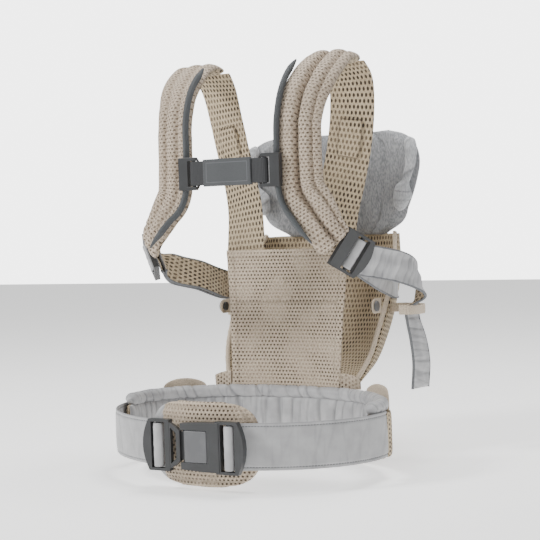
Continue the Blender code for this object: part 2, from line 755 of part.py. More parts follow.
def make_adjusters():
    for side, mirror in SIDES:
        where = adjuster_matrix(mirror)
        low, high = -ADJUSTER_DEPTH / 2, ADJUSTER_DEPTH / 2
        body = plate(
            f"strap_adjuster_{side}",
            rounded_end(ADJUSTER_PLATE_END * mirror, ADJUSTER_ROUND_END * mirror,
                        ADJUSTER_HALF_HEIGHT, 0.006, mirror),
            low,
            high,
            "plastic",
        )
        window = [x * mirror for x in ADJUSTER_WINDOW]
        wall = ADJUSTER_HALF_HEIGHT - 0.0030
        hole = box(
            f"strap_adjuster_{side}_window",
            (min(window), 2 * low, -wall),
            (max(window), 2 * high, wall),
            None,
            "cutters",
        )
        bar = cylinder(
            f"strap_adjuster_{side}_bar", (0, 0, 0), (0, 0, 1), ADJUSTER_BAR_RADIUS, 2 * wall + 0.002,
            None, "cutters",
        )
        cut(body, hole)
        join(body, bar)
        turn = make_wrap(
            f"side_strap_wrap_{side}", (0, 0, 0), ADJUSTER_BAR_RADIUS + GAP, SIDE_STRAP_THICKNESS,
            SIDE_STRAP_WIDTH / 2, "nylon", sweep=230.0,
        )
        for piece in (body, hole, bar, turn):
            place(piece, where)


def strap_band(middle, faces, mirror):
    return Band(middle, faces, [SIDE_STRAP_WIDTH] * len(middle), 3, mirror)


def make_side_straps():
    routes = {
        "right": (1.0, RIGHT_FIXED, RIGHT_FIXED_FACES, RIGHT_FREE, RIGHT_FREE_FACES),
        "left": (-1.0, LEFT_FIXED, LEFT_FIXED_FACES, LEFT_FREE, LEFT_FREE_FACES),
    }
    for side, (mirror, fixed, fixed_faces, free, free_faces) in routes.items():
        layer = strap_band(fixed, fixed_faces, mirror)
        surface(f"side_strap_{side}", layer.rows(0.0), "nylon", SIDE_STRAP_THICKNESS, 0)
        end = strap_band(free, free_faces, mirror)
        surface(f"side_strap_end_{side}", end.rows(0.0), "nylon", SIDE_STRAP_THICKNESS, 0)


# ---------------------------------------------------------------- front panel
PANEL_BOTTOM, PANEL_TOP = 0.0355, 0.1850
PANEL_HALF_TOP, PANEL_HALF_WAIST, PANEL_HALF_BOTTOM = 0.0765, 0.0700, 0.0665


def belt_roll_y(x):
    """Where the belt's roll runs, so that the panel can stand on it."""
    depth = BELT_STRAP_THICKNESS + PLY + BELT_FOAM / 2 + GAP
    return WAIST_FRONT_DEPTH * math.sqrt(1 - (x / WAIST_HALF_WIDTH) ** 2) - depth


def make_panel():
    """The mesh panel that lies on the wearer's chest, from the belt to the front straps."""
    rows = []
    steps, columns = 10, 9
    for r in range(steps + 1):
        v = r / steps
        z = PANEL_BOTTOM + (PANEL_TOP - PANEL_BOTTOM) * v
        low, middle, high = PANEL_HALF_BOTTOM, PANEL_HALF_WAIST, PANEL_HALF_TOP
        half = low * (1 - v) * (1 - 2 * v) + 4 * middle * v * (1 - v) + high * v * (2 * v - 1)
        row = []
        for c in range(columns):
            x = half * (2 * c / (columns - 1) - 1)
            y_top = 0.0945 - 0.0010 * (x / PANEL_HALF_TOP) ** 2
            row.append(Vector((x, belt_roll_y(x) * (1 - v) + y_top * v, z)))
        rows.append(row)
    surface("front_panel", rows, "mesh", PANEL_THICKNESS, 0)


def make_panel_tabs():
    """A loose tab at each of the panel's bottom corners."""
    for side, mirror in SIDES:
        rows = []
        for share in (0.0, 0.35, 0.7, 1.0):
            x = PANEL_HALF_BOTTOM + 0.0012 + PANEL_TAB_LENGTH * share
            y = belt_roll_y(PANEL_HALF_BOTTOM) + 0.004 * share
            top = PANEL_BOTTOM + PANEL_TAB_HEIGHT * (1 - 0.35 * share**2)
            rows.append([Vector((x * mirror, y, PANEL_BOTTOM)), Vector((x * mirror, y, top))])
        surface(f"panel_tab_{side}", rows, "mesh", PANEL_THICKNESS, 0)


def make_belt_flaps():
    """Beige flaps that stand on the outside of the belt, beside the panel."""
    for side, mirror in SIDES:
        rows = []
        steps = 8
        for i in range(steps + 1):
            share = i / steps
            d = FLAP_START_DEG + (FLAP_END_DEG - FLAP_START_DEG) * share
            low = on_waist(d, GAP, 0.006)
            high = low + Vector((0, 0, 0.026 + 0.010 * math.sin(math.pi * share) ** 0.5))
            rows.append([Vector((p.x * mirror, p.y, p.z)) for p in (low, high)])
        surface(f"belt_flap_{side}", rows, "mesh", PLY, mirror)


# ---------------------------------------------------------------- pouch
# Height, half width, y of the side edges, y of the middle, and how far the middle sags.
POUCH_SECTIONS = [
    (0.0370, 0.0790, 0.0960, 0.1130, 0.000),
    (0.0620, 0.0890, 0.1120, 0.1620, 0.012),
    (0.0880, 0.0930, 0.1270, 0.1950, 0.014),
    (0.1200, 0.0950, 0.1500, 0.2200, 0.010),
    (0.1580, 0.0930, 0.1800, 0.2350, 0.004),
    (0.1975, 0.0840, 0.2080, 0.2390, 0.000),
]


def pouch_point(section, across):
    """A point on a U-shaped section: across runs from -1 to 1 round the baby's back."""
    z, half, edge, middle, sag = section
    angle = across * math.pi / 2
    bulge = math.cos(angle) ** 0.8 if abs(across) < 1 else 0.0
    x = half * math.copysign(abs(math.sin(angle)) ** 0.85, across)
    return Vector((x, edge + (middle - edge) * bulge, z - sag * bulge))


def pouch_rows():
    columns = [[s[k] for s in POUCH_SECTIONS] for k in range(5)]
    smooth = [[v.x for v in smooth_through([(w, 0, 0) for w in column], 2)] for column in columns]
    around = 17
    return [[pouch_point(s, 2 * c / (around - 1) - 1) for c in range(around)] for s in zip(*smooth)]


def pouch_side(y, z):
    """How far out the pouch's outer face reaches beside this place."""
    near = [p.x for row in pouch_rows() for p in row if abs(p.z - z) < 0.016 and p.y > y - 0.030]
    return max(near) + POUCH_THICKNESS / 2 + 2 * GAP


def make_pouch():
    rows = pouch_rows()
    surface("baby_pouch", rows, "mesh", POUCH_THICKNESS, 0)
    for side, mirror in SIDES:
        route = []
        for row in rows:
            outward = (row[-1] - row[-2]).normalized()
            p = row[-1] + outward * (BINDING_RADIUS + 4 * GAP)
            route.append(Vector((p.x * mirror, p.y, p.z)))
        tube(f"pouch_binding_{side}", route, BINDING_RADIUS, "mesh")


def make_keepers():
    """Fabric loops on the pouch's edges that hold the straps' free ends."""
    routes = {"right": (1.0, Vector(RIGHT_FREE[RIGHT_KEEPER])), "left": (-1.0, Vector(LEFT_FREE[LEFT_KEEPER]))}
    for side, (mirror, at) in routes.items():
        half_width = SIDE_STRAP_WIDTH / 2 + KEEPER_ROOM
        half_depth = SIDE_STRAP_THICKNESS / 2 + KEEPER_ROOM
        low, high = at.z - KEEPER_HEIGHT / 2, at.z + KEEPER_HEIGHT / 2
        inner, outer = at.x - half_depth - KEEPER_WALL, at.x + half_depth + KEEPER_WALL
        near, far = at.y - half_width - KEEPER_WALL, at.y + half_width + KEEPER_WALL
        root = pouch_side(far - 0.010, at.z)
        body = box(
            f"strap_keeper_{side}",
            (min(root * mirror, outer * mirror), near, low),
            (max(root * mirror, outer * mirror), far, high),
            "mesh",
        )
        hole = box(
            f"strap_keeper_{side}_hole",
            (at.x * mirror - half_depth, at.y - half_width, low - 0.002),
            (at.x * mirror + half_depth, at.y + half_width, high + 0.002),
            None,
            "cutters",
        )
        cut(body, hole)
        waste = box(
            f"strap_keeper_{side}_waste",
            (min((root - 0.01) * mirror, inner * mirror), near - 0.002, low - 0.002),
            (max((root - 0.01) * mirror, inner * mirror), far - 0.010, high + 0.002),
            None,
            "cutters",
        )
        cut(body, waste)


def make_snaps():
    """A tab on each edge of the pouch with a snap fastener: its cap pulls off the socket."""
    row = min(pouch_rows(), key=lambda r: abs(r[-1].z - SNAP_AT_Z))
    edge = row[-1]
    beside = [r[-1].y for r in pouch_rows() if abs(r[-1].z - edge.z) < 0.025]
    far = min(beside) - 2 * BINDING_RADIUS - 5 * GAP
    thick = 0.0016
    face = edge.x + thick / 2
    middle_y = far - SNAP_TAB_LENGTH + SNAP_RADIUS + 0.002
    for side, mirror in SIDES:
        x = edge.x * mirror
        box(
            f"snap_tab_{side}",
            (x - thick / 2, far - SNAP_TAB_LENGTH, edge.z - SNAP_RADIUS - 0.002),
            (x + thick / 2, far, edge.z + SNAP_RADIUS + 0.002),
            "mesh",
        )
        cap = cylinder(
            f"snap_cap_{side}",
            ((face + GAP + SNAP_CAP / 2) * mirror, middle_y, edge.z),
            (1, 0, 0), SNAP_RADIUS, SNAP_CAP, "plastic",
        )
        rim = cap.modifiers.new("rim", "BEVEL")
        rim.width = 0.0005
        rim.segments = 1
        rim.limit_method = "ANGLE"
        cylinder(
            f"snap_socket_{side}",
            ((edge.x - thick / 2 - GAP - SNAP_CAP / 2) * mirror, middle_y, edge.z),
            (1, 0, 0), SNAP_RADIUS - 0.001, SNAP_CAP, "plastic",
        )


# ---------------------------------------------------------------- head support
HEAD_SECTIONS = [
    (0.1985, 0.0640), (0.2120, 0.0880), (0.2300, 0.0980), (0.2550, 0.1080),
    (0.2800, 0.1140), (0.3000, 0.1090), (0.3130, 0.0950), (0.3205, 0.0720),
]
HEAD_MIDDLE_Y = 0.2440
HEAD_EDGE_Y = 0.2200
HEAD_HALF = 0.1140
WING_SLOPE = 1.12  # a ply on the slanting wings is this much deeper than it is thick


def make_head_support():
    """Three plies of the padded flap behind the baby's head; it folds down and outwards."""
    plies = (
        ("head_support_cover", PLY, "jersey", 0.0),
        ("head_support_foam", HEAD_FOAM, "foam", 0.003),
        ("head_support_lining", PLY, "jersey", 0.0),
    )
    heights = [s[0] for s in HEAD_SECTIONS]
    halves = [s[1] for s in HEAD_SECTIONS]
    bottom, top = heights[0], heights[-1]
    depth = 0.0
    columns = 11
    for name, thickness, kind, trim in plies:
        rows = []
        for z, half in zip(heights, halves):
            z = bottom + trim + (z - bottom) * (top - bottom - 2 * trim) / (top - bottom)
            row = []
            for c in range(columns):
                x = (half - trim) * (2 * c / (columns - 1) - 1)
                y = HEAD_MIDDLE_Y - (HEAD_MIDDLE_Y - HEAD_EDGE_Y) * (x / HEAD_HALF) ** 2
                row.append(Vector((x, y - depth, z)))
            rows.append(row)
        surface(name, rows, kind, thickness, 1)
        depth += thickness * WING_SLOPE + GAP


# ---------------------------------------------------------------- build
def start_scene():
    for old in list(bpy.data.objects):
        bpy.data.objects.remove(old)
    for name in ("carrier", "cutters"):
        group = bpy.data.collections.new(name)
        bpy.context.scene.collection.children.link(group)


start_scene()
MATERIALS = make_materials()
make_belt()
make_lumbar_pad()
make_waist_buckle()
make_shoulder_straps()
make_chest_strap()
make_adjusters()
make_side_straps()
make_panel()
make_panel_tabs()
make_belt_flaps()
make_pouch()
make_snaps()
make_keepers()
make_head_support()
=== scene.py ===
"""Looks for the soft baby carrier: padded mesh straps, a mesh pouch, a jersey head support and a nylon belt.

Every piece is a surface worked out on a grid of two parameters, closed on itself, in metres.
Each carries an attribute called cloth: across and along the flat cloth in metres, then its face, 1 or -1, drawn
towards 0 where a crease or a seam keeps the light out.
"""

import math

import bpy
import numpy as np
from mathutils import Matrix, Vector


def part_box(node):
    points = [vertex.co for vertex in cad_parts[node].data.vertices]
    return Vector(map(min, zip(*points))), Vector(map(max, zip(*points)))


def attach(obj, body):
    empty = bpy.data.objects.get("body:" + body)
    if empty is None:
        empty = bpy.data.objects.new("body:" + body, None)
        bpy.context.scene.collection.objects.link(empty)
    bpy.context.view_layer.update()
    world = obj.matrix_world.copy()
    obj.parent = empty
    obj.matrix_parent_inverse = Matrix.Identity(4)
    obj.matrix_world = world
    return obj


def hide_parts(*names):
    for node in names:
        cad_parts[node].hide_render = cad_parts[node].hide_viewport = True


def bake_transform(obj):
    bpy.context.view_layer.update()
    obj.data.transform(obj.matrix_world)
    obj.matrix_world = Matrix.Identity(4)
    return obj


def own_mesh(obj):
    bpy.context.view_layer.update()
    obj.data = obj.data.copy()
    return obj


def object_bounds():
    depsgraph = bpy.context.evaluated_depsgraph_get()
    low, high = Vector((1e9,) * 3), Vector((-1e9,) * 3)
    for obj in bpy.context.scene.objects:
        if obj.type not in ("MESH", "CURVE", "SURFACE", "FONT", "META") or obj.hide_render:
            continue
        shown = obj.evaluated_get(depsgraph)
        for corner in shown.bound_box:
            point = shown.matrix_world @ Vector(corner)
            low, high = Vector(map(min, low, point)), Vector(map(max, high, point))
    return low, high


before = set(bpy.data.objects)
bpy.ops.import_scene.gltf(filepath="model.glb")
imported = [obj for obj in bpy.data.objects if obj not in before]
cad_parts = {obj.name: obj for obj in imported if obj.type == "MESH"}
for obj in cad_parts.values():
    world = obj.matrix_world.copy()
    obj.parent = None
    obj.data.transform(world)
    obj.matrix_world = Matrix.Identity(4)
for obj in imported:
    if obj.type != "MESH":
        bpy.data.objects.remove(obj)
CAD_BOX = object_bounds()
SIDES = (("right", 1.0), ("left", -1.0))
ROOT = "carrier"

# The waist loop is two half ellipses: its half width, its depth on the baby's side and at the wearer's back.
WAIST_HALF, WAIST_FRONT, WAIST_BACK = 0.153, 0.098, 0.113
WAIST_RADIUS = 0.125  # of a round loop of that length, which turns degrees into lengths of belt


# ---------------------------------------------------------------- curves and surfaces
def unit(v):
    """Vectors scaled to a length of 1."""
    return v / np.maximum(np.linalg.norm(v, axis=-1, keepdims=True), 1e-12)


def lengths(points):
    """How far along a line of points each one lies."""
    return np.concatenate([[0], np.cumsum(np.linalg.norm(np.diff(points, axis=0), axis=1))])


def drawn_out(count):
    """Numbers from -1 to 1, closer together towards both ends, as the sine of an even turn."""
    return np.sin(np.linspace(-np.pi / 2, np.pi / 2, count))


def catmull(values, t):
    """Catmull-Rom blend of the listed values at parameters t; whole numbers hit the values themselves."""
    v = np.array([list(x) if hasattr(x, "__len__") else [x] for x in values], float)
    v = np.vstack([2 * v[0] - v[1], v, 2 * v[-1] - v[-2]])
    i = np.clip(t.astype(int), 0, len(v) - 4)
    f = (t - i)[:, None]
    a, b, c, d = v[i], v[i + 1], v[i + 2], v[i + 3]
    return 0.5 * (2 * b + (c - a) * f + (2 * a - 5 * b + 4 * c - d) * f**2 + (3 * b - a - 3 * c + d) * f**3)


class Route:
    """A centre line in even steps, with the direction across the strap and the one out of its face."""

    def __init__(self, points, faces, widths, count, mirror=1.0):
        last = len(points) - 1
        dense = np.linspace(0, last, 3000)
        run = lengths(catmull(points, dense))
        self.along = np.linspace(0, run[-1], count)
        t = np.interp(self.along, run, dense)
        flip = np.array([mirror, 1.0, 1.0])
        point = catmull(points, t)
        tangent = unit(np.gradient(point, axis=0))
        across = unit(np.cross(tangent, catmull(faces, t)))
        self.point = point * flip
        self.across = across * flip
        self.out = unit(np.cross(across, tangent)) * flip
        self.width = catmull(widths, t)[:, 0]
        self.length = run[-1]

    def at(self, across, height):
        """Points at those distances across the strap and out of its face; both are grids, a row per station."""
        return (
            self.point[:, None] + self.across[:, None] * across[..., None] + self.out[:, None] * height[..., None]
        )


def bump(x, centre, half):
    """A smooth bell: 1 at the centre, about a third at half, nothing beyond twice half."""
    return np.exp(-(((x - centre) / half) ** 2))


def ripple(s, u, length, lean, seed):
    """Folds of gathered cloth: three waves of unequal length along s, leaning with u, from -1 to 1."""
    waves = ((1.0, 0.55), (1.73, 0.28), (2.61, 0.17))
    total = 0.0
    for k, (rate, share) in enumerate(waves):
        phase = seed * (1.7 + k) + 0.9 * np.sin(s / length * 1.3 + seed + k)
        total = total + share * np.sin(2 * np.pi * rate * s / length + lean * u * (1 + 0.4 * k) + phase)
    return total


def creases(s, u, spacing, lean, sharp):
    """Sharp, sparse creases of taut thin cloth: a narrow bell at each step along s, unevenly spaced and leaning
    with u, some deep and some faint; from 0 to 1."""
    phase = s / spacing + lean * u + 0.30 * np.sin(s * 61.0 + 1.0) + 0.22 * np.sin(s * 137.0 + u)
    near = np.abs(phase - np.round(phase))
    deep = 0.45 + 0.55 * np.sin(np.round(phase) * 2.4 + 0.5) ** 2
    return deep * np.exp(-((near / sharp) ** 2))


def turned_in(points, quads):
    """True where the quads face inwards: the volume they sweep about their middle is less than nothing."""
    a, b, c, d = (points[quads[:, k]] - points.mean(0) for k in range(4))
    return np.einsum("ij,ij->", a, np.cross(b, c)) + np.einsum("ij,ij->", a, np.cross(c, d)) < 0


def make_piece(name, points, faces, cloth, finish, body, nodes):
    """The object itself, with its cloth attribute and its finish, the body it rides on and the nodes it replaces."""
    mesh = bpy.data.meshes.new(name)
    mesh.from_pydata(points.tolist(), [], faces)
    mesh.shade_smooth()
    values = cloth.astype(np.float32).ravel()
    mesh.attributes.new("cloth", "FLOAT_VECTOR", "POINT").data.foreach_set("vector", values)
    mesh.materials.append(finish)
    piece = bpy.data.objects.new(name, mesh)
    bpy.context.scene.collection.objects.link(piece)
    if body:
        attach(piece, body)
    if nodes is not None:
        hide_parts(*nodes)
    return piece


def skin(name, outer, inner, cloth, finish, body, nodes, inner_finish=None):
    """A closed piece: an outer grid, an inner grid, and walls that join them all round their edge."""
    n, m = outer.shape[:2]
    ids = np.arange(n * m).reshape(n, m)
    top = np.stack([ids[:-1, :-1], ids[1:, :-1], ids[1:, 1:], ids[:-1, 1:]], -1).reshape(-1, 4)
    rim = np.concatenate([ids[:-1, 0], ids[-1, :-1], ids[:0:-1, -1], ids[0, :0:-1]])
    after = np.roll(rim, -1)
    walls = np.stack([after, rim, rim + n * m, after + n * m], -1)
    faces = np.concatenate([top, top[:, ::-1] + n * m, walls])
    points = np.concatenate([outer.reshape(-1, 3), inner.reshape(-1, 3)])
    if turned_in(points, faces):
        faces = faces[:, ::-1]
    both = np.concatenate([cloth.reshape(-1, 3), cloth.reshape(-1, 3) * (1, 1, -1)])
    piece = make_piece(name, points, faces.tolist(), both, finish, body, nodes or None)
    if inner_finish:
        piece.data.materials.append(inner_finish)
        which = np.zeros(len(faces), np.int32)
        which[len(top) : 2 * len(top)] = 1
        piece.data.polygons.foreach_set("material_index", which)
    return piece


def tube(name, rings, cloth, finish, body, nodes):
    """A closed skin over rings (stations, points, xyz); each end is drawn shut to the middle of its ring."""
    n, m = rings.shape[:2]
    ids = np.arange(n * m).reshape(n, m)
    right = np.roll(ids, -1, axis=1)
    sides = np.stack([ids[:-1], ids[1:], right[1:], right[:-1]], -1).reshape(-1, 4)
    first = np.stack([np.full(m, n * m), ids[0], right[0]], -1)
    last = np.stack([np.full(m, n * m + 1), right[-1], ids[-1]], -1)
    points = np.concatenate([rings.reshape(-1, 3), rings[0].mean(0)[None], rings[-1].mean(0)[None]])
    turn = -1 if turned_in(points, sides) else 1
    faces = [f[::turn] for f in sides.tolist() + first.tolist() + last.tolist()]
    flat = np.concatenate([cloth.reshape(-1, 3), cloth[0].mean(0)[None], cloth[-1].mean(0)[None]])
    return make_piece(name, points, faces, flat, finish, body, nodes)


def cloth_at(across, along, lit=1.0):
    """The cloth attribute's values: across and along the flat cloth, and how much light reaches it."""
    return np.stack(np.broadcast_arrays(across, along, lit), -1)


def plump(across, power, least):
    """Height of a cushion across it, as a share: near 1 over the middle, falling round to least at both edges."""
    return least + (1 - least) * (1 - np.abs(across) ** power) ** 0.5


def pad(route, top, bottom, columns=28, ends=(0.006, 0.006), blunt=0.85, edge=0.45, shadow=None):
    """Grids of a cushion on a route: its height falls off round both edges and both ends, as a quarter ellipse."""
    u = drawn_out(columns)
    s, u = np.meshgrid(route.along, u, indexing="ij")
    near = np.clip(s / ends[0], 0, 1)
    far = np.clip((route.length - s) / ends[1], 0, 1)
    end = np.sqrt(1 - (1 - near) ** 2) * np.sqrt(1 - (1 - far) ** 2)
    lift = (0.05 + 0.95 * (1 - np.abs(u) ** 3) ** edge) * (0.08 + 0.92 * end)
    across = u * route.width[:, None] / 2 * (blunt + (1 - blunt) * end)
    cloth = cloth_at(across, s, 1 - shadow(u, s) if shadow else 1.0)
    return route.at(across, top(u, s) * lift), route.at(across, -bottom(u, s) * lift), cloth


def sheet_sides(grid, thickness):
    """The two faces of a sheet: its grid moved half a thickness each way along its own normals."""
    normal = unit(np.cross(np.gradient(grid, axis=0), np.gradient(grid, axis=1)))
    step = normal * (thickness[..., None] if hasattr(thickness, "shape") else thickness) / 2
    return grid + step, grid - step


# ---------------------------------------------------------------- materials
def srgb(code, alpha=1.0):
    """A hex colour turned to linear light."""
    c = np.array([int(code[i : i + 2], 16) for i in (1, 3, 5)]) / 255
    return (*np.where(c <= 0.04045, c / 12.92, ((c + 0.055) / 1.055) ** 2.4), alpha)


def feed(tree, node, inputs):
    """Sets a node's inputs: a socket is linked, a node is linked by its first output, anything else is the value."""
    for key, value in inputs.items():
        if isinstance(value, bpy.types.Node):
            value = value.outputs[0]
        if isinstance(value, bpy.types.NodeSocket):
            tree.links.new(value, node.inputs[key])
        else:
            node.inputs[key].default_value = value


def add(tree, kind, inputs=None, **settings):
    """Adds a shader node of that kind with its settings and inputs."""
    made = tree.nodes.new("ShaderNode" + kind)
    for key, value in settings.items():
        setattr(made, key, value)
    feed(tree, made, inputs or {})
    return made


def begin(name):
    """An empty material with its Principled shader; returns it, its node tree and the shader."""
    material = bpy.data.materials.new(name)
    material.use_nodes = True
    tree = material.node_tree
    return material, tree, next(n for n in tree.nodes if n.type == "BSDF_PRINCIPLED")


def in_shadow(tree, cloth, most=1.0):
    """How dark a crease or a seam is, up to most: it grows as the face that the cloth attribute holds nears 0."""
    face = add(tree, "SeparateXYZ", {0: cloth}).outputs[2]
    face = add(tree, "Math", {0: face}, operation="ABSOLUTE")
    return add(tree, "MapRange", {0: face, 3: most, 4: 0.0})


def staggered_holes(tree, cloth, pitch, hole, soft):
    """1 inside oval holes and 0 between them. Every second row is shifted by half a pitch; the distance from
    the cell's middle, counted in the hole's half sizes, falls through one at its rim."""
    cells = add(tree, "VectorMath", {0: cloth, 1: (pitch[0], pitch[1], 1.0)}, operation="DIVIDE")
    row = add(tree, "SeparateXYZ", {0: cells}).outputs[1]
    row = add(tree, "Math", {0: row}, operation="FLOOR")
    odd = add(tree, "Math", {0: row, 1: 2.0}, operation="FLOORED_MODULO")
    half = add(tree, "Math", {0: odd, 1: 0.5}, operation="MULTIPLY")
    shift = add(tree, "CombineXYZ", {0: half})
    moved = add(tree, "VectorMath", {0: cells, 1: shift})
    part = add(tree, "VectorMath", {0: moved}, operation="FRACTION")
    middle = add(tree, "VectorMath", {0: part, 1: (0.5, 0.5, 0.0)}, operation="SUBTRACT")
    size = (pitch[0] / hole[0], pitch[1] / hole[1], 0.0)
    scaled = add(tree, "VectorMath", {0: middle, 1: size}, operation="MULTIPLY")
    far = add(tree, "VectorMath", {0: scaled}, operation="LENGTH")
    rim = {0: far.outputs["Value"], 1: 1 - soft, 2: 1 + soft, 3: 1.0, 4: 0.0}
    return add(tree, "MapRange", rim, interpolation_type="SMOOTHSTEP")


def spacer_mesh(name, yarn, shade, hole_shade_colour, pitch, hole, soft=0.25, depth=0.8, patchy=0.25):
    """Polyester spacer mesh, warp-knitted: matt, heathered yarn with staggered round or oval holes, whose dark colour
    is painted shade standing for the shaded inside of the ply. The knit's own loops are about 1 mm, drawn as a fine
    noise."""
    material, tree, shader = begin(name)
    cloth = add(tree, "Attribute", attribute_name="cloth").outputs["Vector"]
    mask = staggered_holes(tree, cloth, pitch, hole, soft)
    place = add(tree, "TexCoord").outputs["Object"]
    # 1.1 mm loops of yarn
    loops = add(tree, "TexNoise", {"Vector": place, "Scale": 900.0, "Detail": 3.0})
    # hand-sized wear and dye differences, 40 mm
    cloudy = add(tree, "TexNoise", {"Vector": place, "Scale": 25.0, "Detail": 2.0})
    spread = add(tree, "MapRange", {0: loops, 1: 0.38, 2: 0.64})
    mix = add(tree, "Mix", {0: spread, 6: srgb(yarn), 7: srgb(shade)}, data_type="RGBA")
    tone = add(tree, "MapRange", {0: cloudy, 1: 0.3, 2: 0.7, 3: 0.0, 4: 0.30})
    toned = add(tree, "Mix", {0: tone, 6: mix.outputs[2], 7: srgb(shade)}, data_type="RGBA")
    # painted shade in the holes, weaker in patches: where a second ply lies close behind, the holes are filled from
    # behind and look shallow
    backed = add(tree, "TexNoise", {"Vector": place, "Scale": 34.0, "Detail": 1.0})
    shallow = {0: backed, 1: 0.40, 2: 0.56, 3: depth * (1 - patchy), 4: depth}
    hole_shade_share = add(tree, "MapRange", shallow)
    share = add(tree, "Math", {0: mask, 1: hole_shade_share}, operation="MULTIPLY")
    # painted shade: the holes' colour is drawn towards the hole shade colour
    punched = add(tree, "Mix", {0: share, 6: toned.outputs[2], 7: srgb(hole_shade_colour)}, data_type="RGBA")
    dark = in_shadow(tree, cloth, 0.85)
    colour = add(tree, "Mix", {0: dark, 6: punched.outputs[2], 7: srgb(hole_shade_colour)}, data_type="RGBA")
    raised = add(tree, "Math", {0: loops, 1: mask}, operation="SUBTRACT")
    relief = add(tree, "Bump", {"Strength": 0.8, "Distance": 0.0012, "Height": raised})
    looks = {"Base Color": colour.outputs[2], "Roughness": 0.88, "Sheen Weight": 0.08, "Sheen Roughness": 0.5}
    feed(tree, shader, looks | {"Normal": relief})
    return material


def woven_nylon(name, colour, shade, stitches=None, roughness=0.48, gathers=0.0):
    """Woven nylon taffeta, calendered: smooth, with a soft sheen and threads 0.4 mm apart, drawn 0.8 mm so that
    they show. stitches lists distances across the strap that a dashed seam follows, 3 mm a stitch."""
    material, tree, shader = begin(name)
    cloth = add(tree, "Attribute", attribute_name="cloth").outputs["Vector"]
    place = add(tree, "TexCoord").outputs["Object"]
    turned = add(tree, "Mapping", {0: cloth, 3: (1250.0, 1250.0, 0.0)})
    threads = add(tree, "TexChecker", {0: turned, 3: 1.0}).outputs[1]
    soft = add(tree, "TexNoise", {"Vector": place, "Scale": 70.0, "Detail": 4.0})
    # creases run across the strap: the noise is stretched to 30 by 5 mm; it bumps the cloth and also paints shade into
    # the creases
    pulled = add(tree, "Mapping", {0: cloth, 3: (22.0, 190.0, 0.0)})
    crease = add(tree, "TexNoise", {"Vector": pulled, "Scale": 1.0, "Detail": 2.0})
    tone = add(tree, "MapRange", {0: soft, 1: 0.35, 2: 0.7})
    mix = add(tree, "Mix", {0: tone, 6: srgb(colour), 7: srgb(shade)}, data_type="RGBA")
    dark = in_shadow(tree, cloth)
    # painted shade in the creases, deeper where the cloth is gathered
    pleat_shade = add(tree, "MapRange", {0: crease, 1: 0.56, 2: 0.74, 3: 0.0, 4: 0.30 + 0.5 * gathers})
    dark = add(tree, "Math", {0: dark, 1: pleat_shade}, operation="MAXIMUM")
    shaded = add(tree, "Mix", {0: dark, 6: mix.outputs[2], 7: srgb("#737476")}, data_type="RGBA")
    base = shaded.outputs[2]
    height = add(tree, "Math", {0: threads, 1: 0.12}, operation="MULTIPLY")
    folds = add(tree, "Math", {0: crease, 1: 1.5 + 4.0 * gathers}, operation="MULTIPLY")
    height = add(tree, "Math", {0: height, 1: folds})
    if stitches:
        xyz = add(tree, "SeparateXYZ", {0: cloth})
        dash = add(tree, "Math", {0: xyz.outputs[1], 1: 0.0030}, operation="DIVIDE")
        dash = add(tree, "Math", {0: dash}, operation="FRACT")
        dash = add(tree, "Math", {0: dash, 1: 0.72}, operation="LESS_THAN")
        side = add(tree, "Math", {0: xyz}, operation="ABSOLUTE")
        lines = None
        for place_across in stitches:
            off = add(tree, "Math", {0: side, 1: place_across}, operation="SUBTRACT")
            off = add(tree, "Math", {0: off}, operation="ABSOLUTE")
            on = add(tree, "Math", {0: off, 1: 0.00045}, operation="LESS_THAN")
            lines = on if lines is None else add(tree, "Math", {0: lines, 1: on})
        seam = add(tree, "Math", {0: lines, 1: dash}, operation="MULTIPLY")
        sewn = add(tree, "Mix", {0: seam, 6: base, 7: srgb("#5F6163")}, data_type="RGBA")
        base = sewn.outputs[2]
        height = add(tree, "Math", {0: height, 1: lines}, operation="SUBTRACT")
    relief = add(tree, "Bump", {"Strength": 0.35, "Distance": 0.0006, "Height": height})
    feed(tree, shader, {"Base Color": base, "Normal": relief, "Roughness": roughness, "Sheen Weight": 0.15})
    return material


def melange_jersey(name, pale, dark, dusk):
    """Cotton jersey knitted from melange yarn: matt and mottled, pale and dark fibres mixed, with 1 mm wales."""
    material, tree, shader = begin(name)
    place = add(tree, "TexCoord").outputs["Object"]
    stretched = add(tree, "Mapping", {0: place, 3: (700.0, 700.0, 260.0)})
    fibres = add(tree, "TexNoise", {"Vector": stretched, "Scale": 1.0, "Detail": 4.0})
    wales = add(tree, "TexWave", {"Vector": place, "Scale": 160.0, "Distortion": 1.2}).outputs[1]
    cloudy = add(tree, "TexNoise", {"Vector": place, "Scale": 30.0, "Detail": 3.0})
    spread = add(tree, "MapRange", {0: fibres, 1: 0.36, 2: 0.64})
    mix = add(tree, "Mix", {0: spread, 6: srgb(pale), 7: srgb(dark)}, data_type="RGBA")
    tone = add(tree, "MapRange", {0: cloudy, 1: 0.3, 2: 0.7, 3: 0.0, 4: 0.25})
    toned = add(tree, "Mix", {0: tone, 6: mix.outputs[2], 7: srgb(dusk)}, data_type="RGBA")
    cloth = add(tree, "Attribute", attribute_name="cloth").outputs["Vector"]
    dark = in_shadow(tree, cloth)
    shaded = add(tree, "Mix", {0: dark, 6: toned.outputs[2], 7: srgb("#4C4E50")}, data_type="RGBA")
    height = add(tree, "Math", {0: fibres, 1: wales})
    relief = add(tree, "Bump", {"Strength": 0.3, "Distance": 0.0005, "Height": height})
    looks = {"Base Color": shaded.outputs[2], "Normal": relief, "Roughness": 0.92, "Sheen Weight": 0.35}
    feed(tree, shader, looks)
    return material


